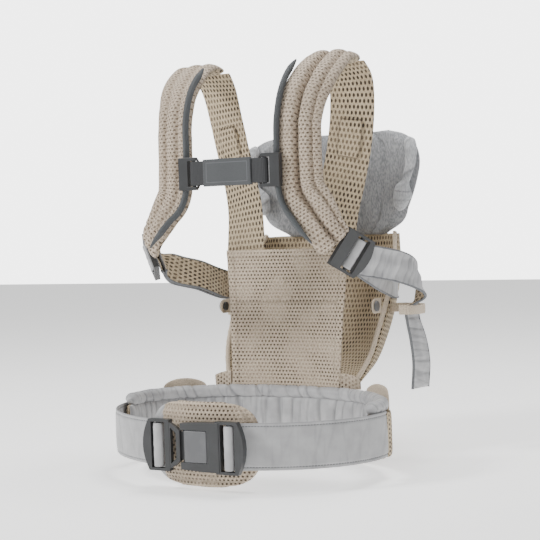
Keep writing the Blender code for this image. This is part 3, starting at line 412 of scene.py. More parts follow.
def moulded_acetal(name, colour, rubbed, roughness=0.38):
    """Acetal, injection-moulded with a fine spark-eroded grain: a dull gloss, paler where hands rub it."""
    material, tree, shader = begin(name)
    place = add(tree, "TexCoord").outputs["Object"]
    grain = add(tree, "TexNoise", {"Vector": place, "Scale": 2600.0, "Detail": 2.0})
    wear = add(tree, "TexNoise", {"Vector": place, "Scale": 60.0, "Detail": 5.0})
    tone = add(tree, "MapRange", {0: wear, 1: 0.45, 2: 0.75, 3: 0.0, 4: 0.5})
    mix = add(tree, "Mix", {0: tone, 6: srgb(colour), 7: srgb(rubbed)}, data_type="RGBA")
    relief = add(tree, "Bump", {"Strength": 0.15, "Distance": 0.0002, "Height": grain})
    feed(tree, shader, {"Base Color": mix.outputs[2], "Normal": relief, "Roughness": roughness, "IOR": 1.48})
    return material


def ribbed_webbing(name, colour, shade, rib=0.0016, border=None):
    """Polyester webbing, shuttle-woven: close ribs across it, matt. border is (half length, half height) of a
    line of stitches sewn inside the edge of a label."""
    material, tree, shader = begin(name)
    cloth = add(tree, "Attribute", attribute_name="cloth").outputs["Vector"]
    xyz = add(tree, "SeparateXYZ", {0: cloth})
    turns = add(tree, "Math", {0: xyz.outputs[1], 1: 2 * math.pi / rib}, operation="MULTIPLY")
    ribs = add(tree, "Math", {0: turns}, operation="SINE")
    place = add(tree, "TexCoord").outputs["Object"]
    fuzz = add(tree, "TexNoise", {"Vector": place, "Scale": 1200.0, "Detail": 3.0})
    mix = add(tree, "Mix", {0: fuzz, 6: srgb(colour), 7: srgb(shade)}, data_type="RGBA")
    base = mix.outputs[2]
    height = add(tree, "Math", {0: ribs, 1: fuzz})
    if border:
        centred = add(tree, "VectorMath", {0: cloth, 1: (0.0, border[0], 0.0)}, operation="SUBTRACT")
        size = add(tree, "VectorMath", {0: centred}, operation="ABSOLUTE")
        half = add(tree, "SeparateXYZ", {0: size})
        x = add(tree, "Math", {0: half.outputs[1], 1: border[0] - 0.004}, operation="SUBTRACT")
        y = add(tree, "Math", {0: half, 1: border[1] - 0.004}, operation="SUBTRACT")
        far = add(tree, "Math", {0: x, 1: y}, operation="MAXIMUM")
        far = add(tree, "Math", {0: far}, operation="ABSOLUTE")
        line = add(tree, "Math", {0: far, 1: 0.0004}, operation="LESS_THAN")
        sewn = add(tree, "Mix", {0: line, 6: base, 7: srgb("#5A5C5F")}, data_type="RGBA")
        base = sewn.outputs[2]
    relief = add(tree, "Bump", {"Strength": 0.35, "Distance": 0.0003, "Height": height})
    feed(tree, shader, {"Base Color": base, "Normal": relief, "Roughness": 0.72})
    return material


def drawn_wire():
    """Spring steel, cold-drawn: bright grey with fine lines along the wire."""
    material, tree, shader = begin("drawn spring steel")
    place = add(tree, "TexCoord").outputs["Object"]
    lines = add(tree, "TexNoise", {"Vector": place, "Scale": 3000.0})
    rough = add(tree, "MapRange", {0: lines, 3: 0.25, 4: 0.4})
    feed(tree, shader, {"Base Color": srgb("#A9ABAE"), "Metallic": 1.0, "Roughness": rough})
    return material


# Each mesh's fourth colour is the painted shade seen in its holes, creases and seams.
PADDED_MESH = spacer_mesh(
    "padded beige spacer mesh", "#CFBFAC", "#9E8D79", "#4F4130", (0.0042, 0.0038), (0.00115, 0.00085), 0.42, 0.85)
OPEN_MESH = spacer_mesh(
    "open beige spacer mesh", "#CDBB9E", "#A8967A", "#30261A", (0.0045, 0.0064), (0.00125, 0.0022), 0.20, 0.95)
PANEL_MESH = spacer_mesh(
    "punched beige spacer mesh", "#D2C2AD", "#AD9C87", "#3F3324", (0.0042, 0.0040), (0.00115, 0.00105), 0.28, 0.95,
    0.60)
PLAIN_BEIGE = spacer_mesh(
    "smooth beige binding", "#D6C8B4", "#BBAB96", "#A08F79", (0.0030, 0.0030), (0.0005, 0.0004), 0.5, 0.4)
GATHERED_NYLON = woven_nylon("gathered light grey nylon", "#AFAFB0", "#98989A", None, 0.46, 0.8)
SEAT_NYLON = woven_nylon("stitched light grey nylon strap", "#A4A4A5", "#969697", (0.0198,), 0.42)
SHADED_NYLON = woven_nylon("smooth light grey nylon", "#ADADAE", "#9A9A9B")
# JERSEY is grey jersey darkened with painted shade for the head support's face towards the wearer; LIT_WING_JERSEY is a
# lighter copy of the same jersey, painted light on the wings' rolled edges.
JERSEY = melange_jersey("shaded grey melange jersey knit", "#A3A4A6", "#77797C", "#6A6C6F")
LIT_WING_JERSEY = melange_jersey("lit pale melange jersey knit", "#BDBEC0", "#999B9E", "#8A8C8F")
ACETAL = moulded_acetal("dark grey moulded acetal", "#2E2F30", "#3C3D3F")
PLATE_ACETAL = moulded_acetal("mid grey moulded acetal", "#57585A", "#68696B", 0.34)
RAIL_TAPE = ribbed_webbing("slate grey rail tape", "#3B3E40", "#4C4F51", 0.0012)
WEBBING = ribbed_webbing("black ribbed webbing", "#242527", "#333436")
LABEL = ribbed_webbing("dark grey label cloth", "#3F4143", "#4C4E50", 0.0009, (0.028, 0.014))
EDGE_PIPING = ribbed_webbing("dark grey edge piping", "#5E6063", "#707275", 0.0010)
WIRE = drawn_wire()


# ---------------------------------------------------------------- beads, and cushions that are blown up
def rolled(centre, across, out, wide, high, count=20):
    """Oval rings round a line: across times wide times cosine, plus out times high times sine."""
    a = np.linspace(0, 2 * np.pi, count, endpoint=False)
    wide, high = (np.broadcast_to(w, (len(centre), count)) for w in (wide, high))
    rings = centre[:, None] + across[:, None] * (wide * np.cos(a))[..., None]
    rings = rings + out[:, None] * (high * np.sin(a))[..., None]
    run = lengths(centre)
    return rings, cloth_at(a * wide, run[:, None])


def smooth(piece, levels=1):
    """Subdivides a piece, as often for a look as for a render."""
    made = piece.modifiers.new("smooth", "SUBSURF")
    made.levels = made.render_levels = levels


def swell(piece, cap, pressure=4.0):
    """Blows a closed cushion up with cloth simulation; no point moves further than cap, and it stays in place."""
    count = len(piece.data.vertices) * 3
    start = np.empty(count, np.float32)
    piece.data.vertices.foreach_get("co", start)
    air = piece.modifiers.new("air", "CLOTH")
    air.settings.use_pressure = True
    air.settings.uniform_pressure_force = pressure
    air.settings.effector_weights.gravity = 0.0
    air.settings.quality = 4
    air.point_cache.frame_start = 1
    air.point_cache.frame_end = 20
    scene = bpy.context.scene
    for number in range(1, 21):
        scene.frame_set(number)
    done = np.empty(count, np.float32)
    piece.evaluated_get(bpy.context.evaluated_depsgraph_get()).data.vertices.foreach_get("co", done)
    piece.modifiers.remove(air)
    scene.frame_set(1)
    start, done = start.reshape(-1, 3), done.reshape(-1, 3)
    move = done - start
    move -= move.mean(0)
    far = np.linalg.norm(move, axis=1, keepdims=True)
    move = move * np.minimum(1.0, cap / np.maximum(far, 1e-9))
    piece.data.vertices.foreach_set("co", (start + move).astype(np.float32).ravel())
    piece.data.update()


# ---------------------------------------------------------------- shoulder straps
ADJUSTER_AT = np.array([0.1212, 0.0054, 0.1804])
ADJUSTER_ALONG = unit(np.array([0.45, 0.75, -0.47]))  # the way the strap runs through it
ADJUSTER_UP = np.array([0.489, 0.241, 0.838])  # then made square to that
ADJUSTER_UP = unit(ADJUSTER_UP - ADJUSTER_ALONG * (ADJUSTER_UP @ ADJUSTER_ALONG))
ADJUSTER_OUT = np.cross(ADJUSTER_ALONG, ADJUSTER_UP)


def from_adjuster(along, outward):
    """A point that far along the strap from the adjuster's bar, and that far out of its face."""
    return ADJUSTER_AT + ADJUSTER_ALONG * along + ADJUSTER_OUT * outward


SHOULDER_MIDDLE = [
    from_adjuster(-0.023, 0.0), (0.1035, -0.0175, 0.2030), (0.0960, -0.0180, 0.2140), (0.0865, -0.0160, 0.2295),
    (0.0765, -0.0140, 0.2470), (0.0745, -0.0135, 0.2700), (0.0742, -0.0130, 0.2950), (0.0745, -0.0115, 0.3180),
    (0.0765, -0.0020, 0.3430), (0.0800, 0.0170, 0.3650), (0.0830, 0.0450, 0.3830), (0.0820, 0.0740, 0.3850),
]
SHOULDER_NORMAL = [
    ADJUSTER_OUT, (0.68, -0.71, -0.18), (0.56, -0.82, -0.08), (0.40, -0.91, 0.0), (0.20, -0.98, 0.0),
    (0.15, -0.99, 0.0), (0.15, -0.99, 0.0), (0.15, -0.99, 0.0), (0.15, -0.95, 0.30), (0.10, -0.65, 0.75),
    (0.05, -0.15, 1.0), (0.0, 0.30, 0.95),
]
SHOULDER_WIDTH = [0.040, 0.041, 0.045, 0.047, 0.046, 0.045, 0.045, 0.045, 0.048, 0.052, 0.052, 0.049]
FRONT_MIDDLE = [
    (0.0820, 0.0800, 0.3830), (0.0820, 0.0990, 0.3640), (0.0785, 0.1070, 0.3300), (0.0725, 0.1100, 0.2950),
    (0.0645, 0.1100, 0.2600), (0.0575, 0.1060, 0.2250), (0.0540, 0.0982, 0.1760),
]
FRONT_NORMAL = [
    (0.0, 0.40, 0.92), (-0.15, 0.85, 0.50), (-0.22, 0.96, 0.12), (-0.24, 0.97, 0.0), (-0.22, 0.97, 0.0),
    (-0.14, 0.99, 0.0), (0.0, 1.0, 0.0),
]
FRONT_WIDTH = [0.049] * 7
RAIL_HEIGHT = 0.0098  # its middle above the strap's
RAIL_END = (0.0812, 0.026, 0.3717)  # the point of the strap's middle beside its upper tip
CHEST_WEBBING, SIDE_STRAP, BELT_STRAP, BELT_TURN = 0.025, 0.032, 0.046, 0.043  # widths


def deep_seam(v):
    """Where the right strap's deep seam runs across it, from -1 to 1, at that share of its length."""
    return -0.10 + 0.75 * np.clip(0.30 - v, 0, 1) ** 1.3 - 0.12 * np.clip(v - 0.7, 0, 1)


def nearest(route, place):
    """How far along the route its point nearest to that place lies."""
    return route.along[np.argmin(np.linalg.norm(route.point - place, axis=1))]


def shoulder_top(side, length):
    """Height of the outer face. Right: two fat lobes parted by a deep seam that drifts outwards at the foot, then
    a shallow one. Left: three low ridges. Cross folds gather both over the shoulder and at the foot."""

    def right(u, s):
        v = s / length
        seam = deep_seam(v)
        lobes = 0.0076 + 0.0016 * bump(u, seam - 0.45, 0.40) + 0.0014 * bump(u, seam + 0.40, 0.34)
        lobes = lobes - 0.0095 * bump(u, seam, 0.10) - 0.0048 * bump(u, seam + 0.70, 0.07)
        folds = 0.0006 * ripple(s, u, 0.033, 1.2, 0.4) + 0.0009 * ripple(s, u, 0.012, 2.0, 2.0) * bump(v, 0.03, 0.08)
        return lobes + folds

    def left(u, s):
        v = s / length
        ridges = 0.0064 + 0.0009 * np.cos(3.0 * np.pi * u)
        ridges = ridges - 0.0030 * bump(u, -0.36 + 0.1 * v, 0.06) - 0.0026 * bump(u, 0.34 + 0.1 * v, 0.06)
        folds = 0.0006 * ripple(s, u, 0.040, -1.0, 1.4) + 0.0012 * ripple(s, u, 0.011, 1.5, 3.0) * bump(v, 0.04, 0.10)
        return ridges + folds

    return right if side == "right" else left


def seam_lines(side, length):
    """How deep in shadow the cloth is: most along the sewn seams, a little at the edges."""

    def amount(u, s):
        v = s / length
        if side == "right":
            seam = deep_seam(v)
            lines = 0.60 * bump(u, seam, 0.045) + 0.40 * bump(u, seam + 0.70, 0.035)
        else:
            lines = 0.22 * bump(u, -0.36 + 0.1 * v, 0.04) + 0.20 * bump(u, 0.34 + 0.1 * v, 0.04)
        return np.clip(lines + 0.30 * bump(np.abs(u), 0.99, 0.04), 0, 0.9)

    return amount


for side, mirror in SIDES:
    route = Route(SHOULDER_MIDDLE, SHOULDER_NORMAL, SHOULDER_WIDTH, 150, mirror)
    outer, inner, cloth = pad(
        route, shoulder_top(side, route.length), lambda u, s: 0.0062 + 0.0005 * ripple(s, u, 0.03, 1.0, 0.7),
        columns=44, ends=(0.010, 0.012), edge=0.42, shadow=seam_lines(side, route.length),
    )
    names = (f"shoulder_cover_{side}", f"shoulder_foam_{side}", f"shoulder_lining_{side}")
    strap = skin(f"shoulder_strap_{side}", outer, inner, cloth, PADDED_MESH, ROOT, names, OPEN_MESH)
    smooth(strap)

    # The rail: a ribbed bead with a foot that reaches down to the strap's edge, pointed at both ends.
    dense = Route(SHOULDER_MIDDLE, SHOULDER_NORMAL, SHOULDER_WIDTH, 420, mirror)
    start = nearest(dense, np.array(SHOULDER_MIDDLE[1]) * (mirror, 1, 1))
    stop = nearest(dense, np.array(RAIL_END) * (mirror, 1, 1))
    keep = (dense.along >= start) & (dense.along <= stop)
    run = dense.along[keep]
    taper = np.sqrt(np.clip(np.minimum(run - run[0], run[-1] - run) / 0.016, 0.01, 1.0))[:, None]
    base = dense.point[keep] - dense.across[keep] * dense.width[keep][:, None] / 2
    base = base + dense.out[keep] * RAIL_HEIGHT
    a = np.linspace(0, 2 * np.pi, 24, endpoint=False)[None]
    foot = np.where(np.sin(a) < 0, 1.9, 1.0)
    wide = 0.0027 * taper * np.where(np.sin(a) < 0, 1.25, 1.0)
    high = 0.0026 * foot * np.maximum(taper, 0.35)
    rings, cloth = rolled(base, dense.across[keep], dense.out[keep], wide, high, 24)
    tube(f"rail_tape_{side}", rings, cloth, RAIL_TAPE, ROOT, (f"strap_rail_{side}",))

    # The front strap: one thickness of open mesh, with a turned edge and slack in its length.
    front = Route(FRONT_MIDDLE, FRONT_NORMAL, FRONT_WIDTH, 110, mirror)
    outer, inner, cloth = pad(
        front,
        lambda u, s: 0.0016 + 0.0007 * bump(np.abs(u), 0.93, 0.05) + 0.0006 * ripple(s, u, 0.06, 1.1, 0.3),
        lambda u, s: 0.0016 + 0.0007 * bump(np.abs(u), 0.93, 0.05) - 0.0006 * ripple(s, u, 0.06, 1.1, 0.3),
        columns=36, ends=(0.002, 0.002), blunt=0.98, edge=0.3,
    )
    piece = skin(f"front_strap_mesh_{side}", outer, inner, cloth, OPEN_MESH, ROOT, (f"front_strap_{side}",))

    # A patch with rounded corners, sewn on the face towards the wearer.
    near = front.along[np.argmin(np.abs(front.point[:, 2] - 0.325))]
    far = front.along[np.argmin(np.abs(front.point[:, 2] - 0.283))]
    s = near + (far - near) * (0.5 - 0.5 * np.cos(np.linspace(0, np.pi, 60)))
    share = 2 * (s - near) / (far - near) - 1
    wide = 0.014 * np.maximum((1 - np.abs(share) ** 5.0) ** (1 / 5.0), 0.55)
    point, across, out = (
        np.stack([np.interp(s, front.along, v[:, k]) for k in range(3)], -1)[:, None]
        for v in (front.point, front.across, front.out)
    )
    u = drawn_out(40)[None] * wide[:, None]
    sunk = -0.0027 - 0.0014 * (1 - (np.abs(u) / wide[:, None]) ** 8) * (1 - np.abs(share[:, None]) ** 8)
    low = point + across * u[..., None] + out * sunk[..., None]
    high = point + across * u[..., None] - out * 0.0017
    rim = np.maximum(bump(np.abs(u) / wide[:, None], 0.90, 0.05), bump(np.abs(share[:, None]), 0.93, 0.04))
    cloth = cloth_at(u, s[:, None], 1 - 0.75 * rim)
    piece = skin(f"front_patch_{side}", low, high, cloth, OPEN_MESH, ROOT, (f"front_strap_patch_{side}",))


# ---------------------------------------------------------------- chest strap
CHEST_Z = 0.268
web_low, web_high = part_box("chest_webbing")


def chest_band():
    """The webbing's run round the two clip bars: straight between them, then 200 degrees of turn at each end."""
    reach, radius = float(web_high[0]), 0.0033
    bar_x, bar_y = reach - 0.0041, float(web_low[1]) + 0.0041
    turn = np.radians(np.linspace(-90, 110, 20))
    right = np.stack([bar_x + radius * np.cos(turn), bar_y + radius * np.sin(turn)], -1)
    straight = np.linspace(-bar_x, bar_x, 90)[1:-1]
    middle = np.stack([straight, np.full_like(straight, bar_y - radius) + 0.0004 * np.cos(straight * 60)], -1)
    return np.concatenate([right[::-1] * (-1, 1), middle, right])


line = chest_band()
run = lengths(line)
tall = np.linspace(-CHEST_WEBBING / 2, CHEST_WEBBING / 2, 22)
s, z = np.meshgrid(run, tall, indexing="ij")
grid = np.stack([np.broadcast_to(line[:, :1], s.shape), np.broadcast_to(line[:, 1:], s.shape), CHEST_Z + z], -1)
thick = 0.0016 - 0.0007 * (np.abs(z) / (CHEST_WEBBING / 2)) ** 8
outer, inner = sheet_sides(grid, thick)
piece = skin("chest_webbing_band", outer, inner, cloth_at(z, s), WEBBING, "chest_strap", ("chest_webbing",))

# The label: a flat sleeve, a rounded oblong in section, with soft corners.
low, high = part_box("chest_label")
a = np.linspace(0, 2 * np.pi, 64, endpoint=False)
curl = lambda v, power: np.sign(v) * np.abs(v) ** power
x = np.concatenate([[-0.0280], np.linspace(-0.0278, 0.0278, 60), [0.0280]])
pinch = np.concatenate([[0.86], np.ones(60), [0.86]])
ring_y = curl(np.sin(a), 0.30) * (float(high[1] - low[1]) / 2)
ring_z = curl(np.cos(a), 0.22) * 0.0140
rings = np.stack([
    np.broadcast_to(x[:, None], (62, 64)),
    float(low[1] + high[1]) / 2 + pinch[:, None] * ring_y[None] + 0.0003 * np.sin(x[:, None] * 190),
    CHEST_Z + ring_z[None] * np.ones((62, 1)),
], -1)
cloth = cloth_at(ring_z, x[:, None] + 0.028)
tube("chest_label_sleeve", rings, cloth, LABEL, "chest_strap", ("chest_label",))


# ---------------------------------------------------------------- straps at the sides
FIXED, FREE = -0.0120, -0.0060  # layers behind the adjuster
RIGHT_FIXED = [
    from_adjuster(0.007, FIXED), from_adjuster(0.017, FIXED), (0.1180, 0.0405, 0.1695), (0.1205, 0.0750, 0.1560),
    (0.1160, 0.1100, 0.1480), (0.1060, 0.1450, 0.1430), (0.1000, 0.1700, 0.1420),
]
RIGHT_FIXED_FACES = [
    ADJUSTER_OUT, ADJUSTER_OUT, (0.94, -0.25, -0.17), (0.98, 0.05, -0.20), (0.96, 0.25, -0.10), (0.95, 0.30, 0.0),
    (0.98, 0.20, 0.0),
]
RIGHT_FREE = [
    from_adjuster(0.007, FREE), from_adjuster(0.017, FREE), (0.1300, 0.0385, 0.1710), (0.1420, 0.0700, 0.1650),
    (0.1490, 0.0980, 0.1560), (0.1480, 0.1190, 0.1430), (0.1390, 0.1270, 0.1300), (0.1330, 0.1290, 0.1160),
    (0.1335, 0.1300, 0.1030), (0.1385, 0.1300, 0.0830), (0.1415, 0.1300, 0.0580), (0.1395, 0.1300, 0.0300),
]
RIGHT_FREE_FACES = [
    ADJUSTER_OUT, ADJUSTER_OUT, (0.92, -0.36, -0.14), (0.93, -0.30, -0.15), (0.92, 0.10, 0.05), (0.75, 0.62, 0.10),
    (0.75, 0.45, -0.40), (0.98, 0.0, -0.10), (0.98, -0.05, 0.10), (0.98, -0.15, 0.15), (1.0, -0.2, 0.0),
    (1.0, -0.2, -0.1),
]
LEFT_FIXED = [
    from_adjuster(0.007, FIXED), from_adjuster(0.017, FIXED), (0.1105, 0.0430, 0.1660), (0.0980, 0.0700, 0.1590),
    (0.0955, 0.0980, 0.1510), (0.0970, 0.1250, 0.1450), (0.1000, 0.1500, 0.1430), (0.1000, 0.1700, 0.1420),
]
LEFT_FIXED_FACES = [
    ADJUSTER_OUT, ADJUSTER_OUT, (1.0, 0.85, -0.35), (0.98, 0.15, -0.15), (0.99, 0.0, -0.10), (0.99, 0.0, 0.0),
    (0.99, 0.0, 0.0), (0.99, 0.1, 0.0),
]


def beside(points, faces, spread):
    """Points at those heights off the face of another strap, with the faces it has there."""
    t = np.arange(len(points), dtype=float)
    ends = np.clip(np.stack([t - 1, t + 1]), 0, len(points) - 1).astype(int)
    p = np.array([list(x) for x in points])
    n = np.array([list(x) for x in faces])
    along = unit(p[ends[1]] - p[ends[0]])
    across = unit(np.cross(along, n))
    out = unit(np.cross(across, along))
    k = len(spread)
    return [*(p[:k] + out[:k] * np.array(spread)[:, None])], [*out[:k]]


LEFT_SPREAD = [0.0052, 0.0048, 0.0060, 0.0066, 0.0066, 0.0066]
left_start, left_faces = beside(LEFT_FIXED, LEFT_FIXED_FACES, LEFT_SPREAD)
LEFT_FREE = left_start + [
    (0.1075, 0.1500, 0.1420), (0.1085, 0.1700, 0.1330), (0.1085, 0.1800, 0.1120), (0.1085, 0.1820, 0.0880),
    (0.1085, 0.1820, 0.0620),
]
LEFT_FREE_FACES = left_faces + [(1.0, 0.0, 0.0)] * 5


def band(name, points, faces, mirror, seed, nodes, gather, width=SIDE_STRAP):
    """A nylon strap with dark piped edges: 2.4 mm thick, its middle gathered into short folds across it."""
    route = Route(points, faces, [width] * len(points), 160, mirror)

    def top(u, s):
        inside = 1 - np.abs(u) ** 6
        along = np.sin(u * 5.0 + seed + 0.8 * np.sin(s * 45 + seed))
        folds = 0.35 * along + 0.45 * ripple(s, u, 0.030, 1.4, seed) - 0.8 * creases(s, u, 0.0105, 0.35, 0.13)
        return 0.0014 + gather * inside * folds + 0.0006 * bump(np.abs(u), 0.95, 0.05)

    def bottom(u, s):
        return 2 * 0.0012 - top(u, s) + 0.0012 * bump(np.abs(u), 0.95, 0.05)

    def shadow(u, s):
        lines = 0.60 * creases(s, u, 0.0105, 0.35, 0.11) * np.clip(0.55 + 0.6 * np.abs(u), 0, 1)
        return np.clip(lines * (1 - u**8) * np.clip(gather / 0.0015, 0.5, 1), 0, 0.9)

    outer, inner, cloth = pad(route, top, bottom, columns=40, ends=(0.002, 0.002), blunt=0.97, edge=0.25, shadow=shadow)
    piece = skin(name, outer, inner, cloth, GATHERED_NYLON, ROOT, nodes, OPEN_MESH)
    # Piping down both edges is one loop's worth of tape: two thin beads.
    for word, edge in (("upper", 1.0), ("lower", -1.0)):
        centre = route.point + route.across * edge * width / 2 * 0.97
        rings, cloth = rolled(centre, route.across, route.out, 0.0011, 0.0016, 10)
        tube(f"{name}_piping_{word}", rings, cloth, EDGE_PIPING, ROOT, ())


band("side_strap_band_right", RIGHT_FIXED, RIGHT_FIXED_FACES, 1.0, 0.5, ("side_strap_right",), 0.0009)
band("side_strap_tail_right", RIGHT_FREE, RIGHT_FREE_FACES, 1.0, 2.1, ("side_strap_end_right",), 0.0019)
band("side_strap_band_left", LEFT_FIXED, LEFT_FIXED_FACES, -1.0, 1.1, ("side_strap_left",), 0.0009)
band("side_strap_tail_left", LEFT_FREE, LEFT_FREE_FACES, -1.0, 3.0, ("side_strap_end_left",), 0.0019)

for side, mirror in SIDES:
    # The turn round the adjuster's bar: an open sleeve on the outer side.
    turn = np.radians(np.linspace(-90 - 115, -90 + 115, 40))
    up = np.linspace(-SIDE_STRAP / 2, SIDE_STRAP / 2, 24)
    a, w = np.meshgrid(turn, up, indexing="ij")
    radius = 0.0027 + 0.0012 + 0.0003 * ripple(w, a, 0.010, 1.0, 0.5) * (1 - (2 * w / SIDE_STRAP) ** 6)
    spin = ADJUSTER_ALONG * (radius * np.cos(a))[..., None] - ADJUSTER_OUT * (radius * np.sin(a))[..., None]
    grid = (ADJUSTER_AT + spin + ADJUSTER_UP * w[..., None]) * (mirror, 1, 1)
    outer, inner = sheet_sides(grid, 0.0023)
    arc = 0.0039 * (a - turn[0])
    piece = skin(f"side_strap_turn_{side}", outer, inner, cloth_at(w, arc), SHADED_NYLON,
                 f"adjuster_{side}", (f"side_strap_wrap_{side}",))


# ---------------------------------------------------------------- front panel, tabs and flaps
def roll_y(x):
    """Where the roll's middle passes, that far from the middle of the baby's side."""
    return WAIST_FRONT * np.sqrt(1 - (x / WAIST_HALF) ** 2) - 0.009


v, u = np.meshgrid(np.linspace(0, 1, 90), drawn_out(90), indexing="ij")
half = 0.0665 * (1 - v) * (1 - 2 * v) + 4 * 0.0700 * v * (1 - v) + 0.0765 * v * (2 * v - 1)
x = half * u
slack = 0.0008 * ripple(v * 0.15, u, 0.07, 2.0, 0.8) * np.sin(np.pi * v)
grid = np.stack([x, roll_y(x) * (1 - v) + (0.0945 - 0.0010 * (x / 0.0765) ** 2) * v + slack, 0.0315 + 0.1535 * v], -1)
hem = bump(np.abs(u), 0.93, 0.035) + bump(v, 0.03, 0.02) + bump(v, 0.97, 0.02) + bump(v, 0.60, 0.012)
outer, inner = sheet_sides(grid, 0.0026 + 0.0012 * np.clip(hem, 0, 1) - 0.0018 * np.abs(u) ** 40)
sewn = 0.40 * (bump(np.abs(u), 0.885, 0.008) + bump(v, 0.945, 0.005) + bump(v, 0.618, 0.004) * (np.abs(u) < 0.88))
cloth = cloth_at(x, 0.1495 * v, 1 - np.clip(sewn, 0, 0.6))
piece = skin("front_panel_mesh", outer, inner, cloth, PANEL_MESH, ROOT, ("front_panel",))

for side, mirror in SIDES:
    # A loose corner tab of the panel, folded out.
    share, w = np.meshgrid(np.linspace(0, 1, 30), np.linspace(0, 1, 20), indexing="ij")
    top = 0.0355 + 0.014 * (1 - 0.35 * share**2)
    grid = np.stack([(0.0677 + 0.022 * share) * mirror, roll_y(0.0665) + 0.004 * share + 0.0015 * np.sin(5 * share) * w,
                     0.0325 + (top - 0.0325) * w], -1)
    outer, inner = sheet_sides(grid, 0.0026 - 0.0014 * (2 * w - 1) ** 8)
    piece = skin(f"panel_corner_{side}", outer, inner, cloth_at(0.014 * w, 0.022 * share),
                 PANEL_MESH, ROOT, (f"panel_tab_{side}",))

    # A smooth flap that stands on the belt's outside, with a rounded top.
    share, w = np.meshgrid(np.linspace(0, 1, 50), np.linspace(0, 1, 24), indexing="ij")
    t = np.radians(27.0 + 23.0 * share)
    push = 0.0012 + 0.0008 * np.sin(9 * share) * w
    normal = unit(np.stack([np.cos(t) / WAIST_HALF, np.sin(t) / WAIST_FRONT, 0 * t], -1))
    rise = 0.026 + 0.010 * np.maximum(np.sin(np.pi * share), 0) ** 0.5
    grid = np.stack([WAIST_HALF * np.cos(t), WAIST_FRONT * np.sin(t), 0.006 + rise * w], -1)
    grid = (grid + normal * push[..., None]) * (mirror, 1, 1)
    outer, inner = sheet_sides(grid, 0.0018 - 0.0008 * (2 * w - 1) ** 8)
    piece = skin(f"belt_side_flap_{side}", outer, inner, cloth_at(0.034 * w, 0.050 * share),
                 PLAIN_BEIGE, ROOT, (f"belt_flap_{side}",))


# ---------------------------------------------------------------- pouch
POUCH_SECTIONS = [
    (0.0370, 0.0790, 0.0960, 0.1130, 0.000), (0.0620, 0.0890, 0.1120, 0.1620, 0.012),
    (0.0880, 0.0930, 0.1270, 0.1950, 0.014), (0.1200, 0.0950, 0.1500, 0.2200, 0.010),
    (0.1580, 0.0930, 0.1800, 0.2350, 0.004), (0.1975, 0.0840, 0.2080, 0.2390, 0.000),
]
ROUND = 120
section = catmull(POUCH_SECTIONS, np.linspace(0, 5, 90))
angle = np.linspace(-np.pi / 2, np.pi / 2, ROUND)[None]
z, half, edge, middle, sag = (section[:, k : k + 1] for k in range(5))
bulge = np.maximum(np.cos(angle), 0) ** 0.8
bulge[:, (0, -1)] = 0.0
across = half * np.sign(angle) * np.abs(np.sin(angle)) ** 0.85
crease = 0.0011 * ripple(across, z * 10, 0.05, 1.0, 0.6) * bulge * np.clip((z - 0.037) / 0.05, 0, 1)
grid = np.stack([across, edge + (middle - edge) * bulge + crease, z - sag * bulge], -1)
steps = np.linalg.norm(np.diff(grid, axis=1), axis=2)
flat_u = np.concatenate([np.zeros((90, 1)), np.cumsum(steps, axis=1)], axis=1)
flat_u = flat_u - flat_u[:, -1:] / 2
flat_v = lengths(grid[:, ROUND // 2])
cloth = cloth_at(flat_u, flat_v[:, None])
edges = np.abs(flat_u) / flat_u[:, -1:]
outer, inner = sheet_sides(grid, 0.0050 + 0.0010 * np.cos(np.pi * 6 * edges) * bulge)
piece = skin("pouch_mesh", outer, inner, cloth, OPEN_MESH, ROOT, ("baby_pouch",))

for side, mirror in SIDES:
    rim = catmull([(s[1], s[2], s[0]) for s in POUCH_SECTIONS], np.linspace(0, 5, 100))
    ahead = unit(np.gradient(rim, axis=0))
    away = unit(np.cross(ahead, np.array([1.0, 0.0, 0.0])))
    away = away * np.sign(-away[:, 1:2])
    centre = (rim + away * 0.0034) * (mirror, 1, 1)
    swing = 0.0003 * ripple(np.linspace(0, 0.2, 100), 0, 0.016, 0.0, 0.9)[:, None]
    sideways = np.tile([mirror, 0.0, 0.0], (100, 1))
    rings, cloth = rolled(centre, sideways, away * (mirror, 1, 1), 0.0026 + swing, 0.0030 + swing, 18)
    tube(f"pouch_edge_{side}", rings, cloth, PLAIN_BEIGE, ROOT, (f"pouch_binding_{side}",))


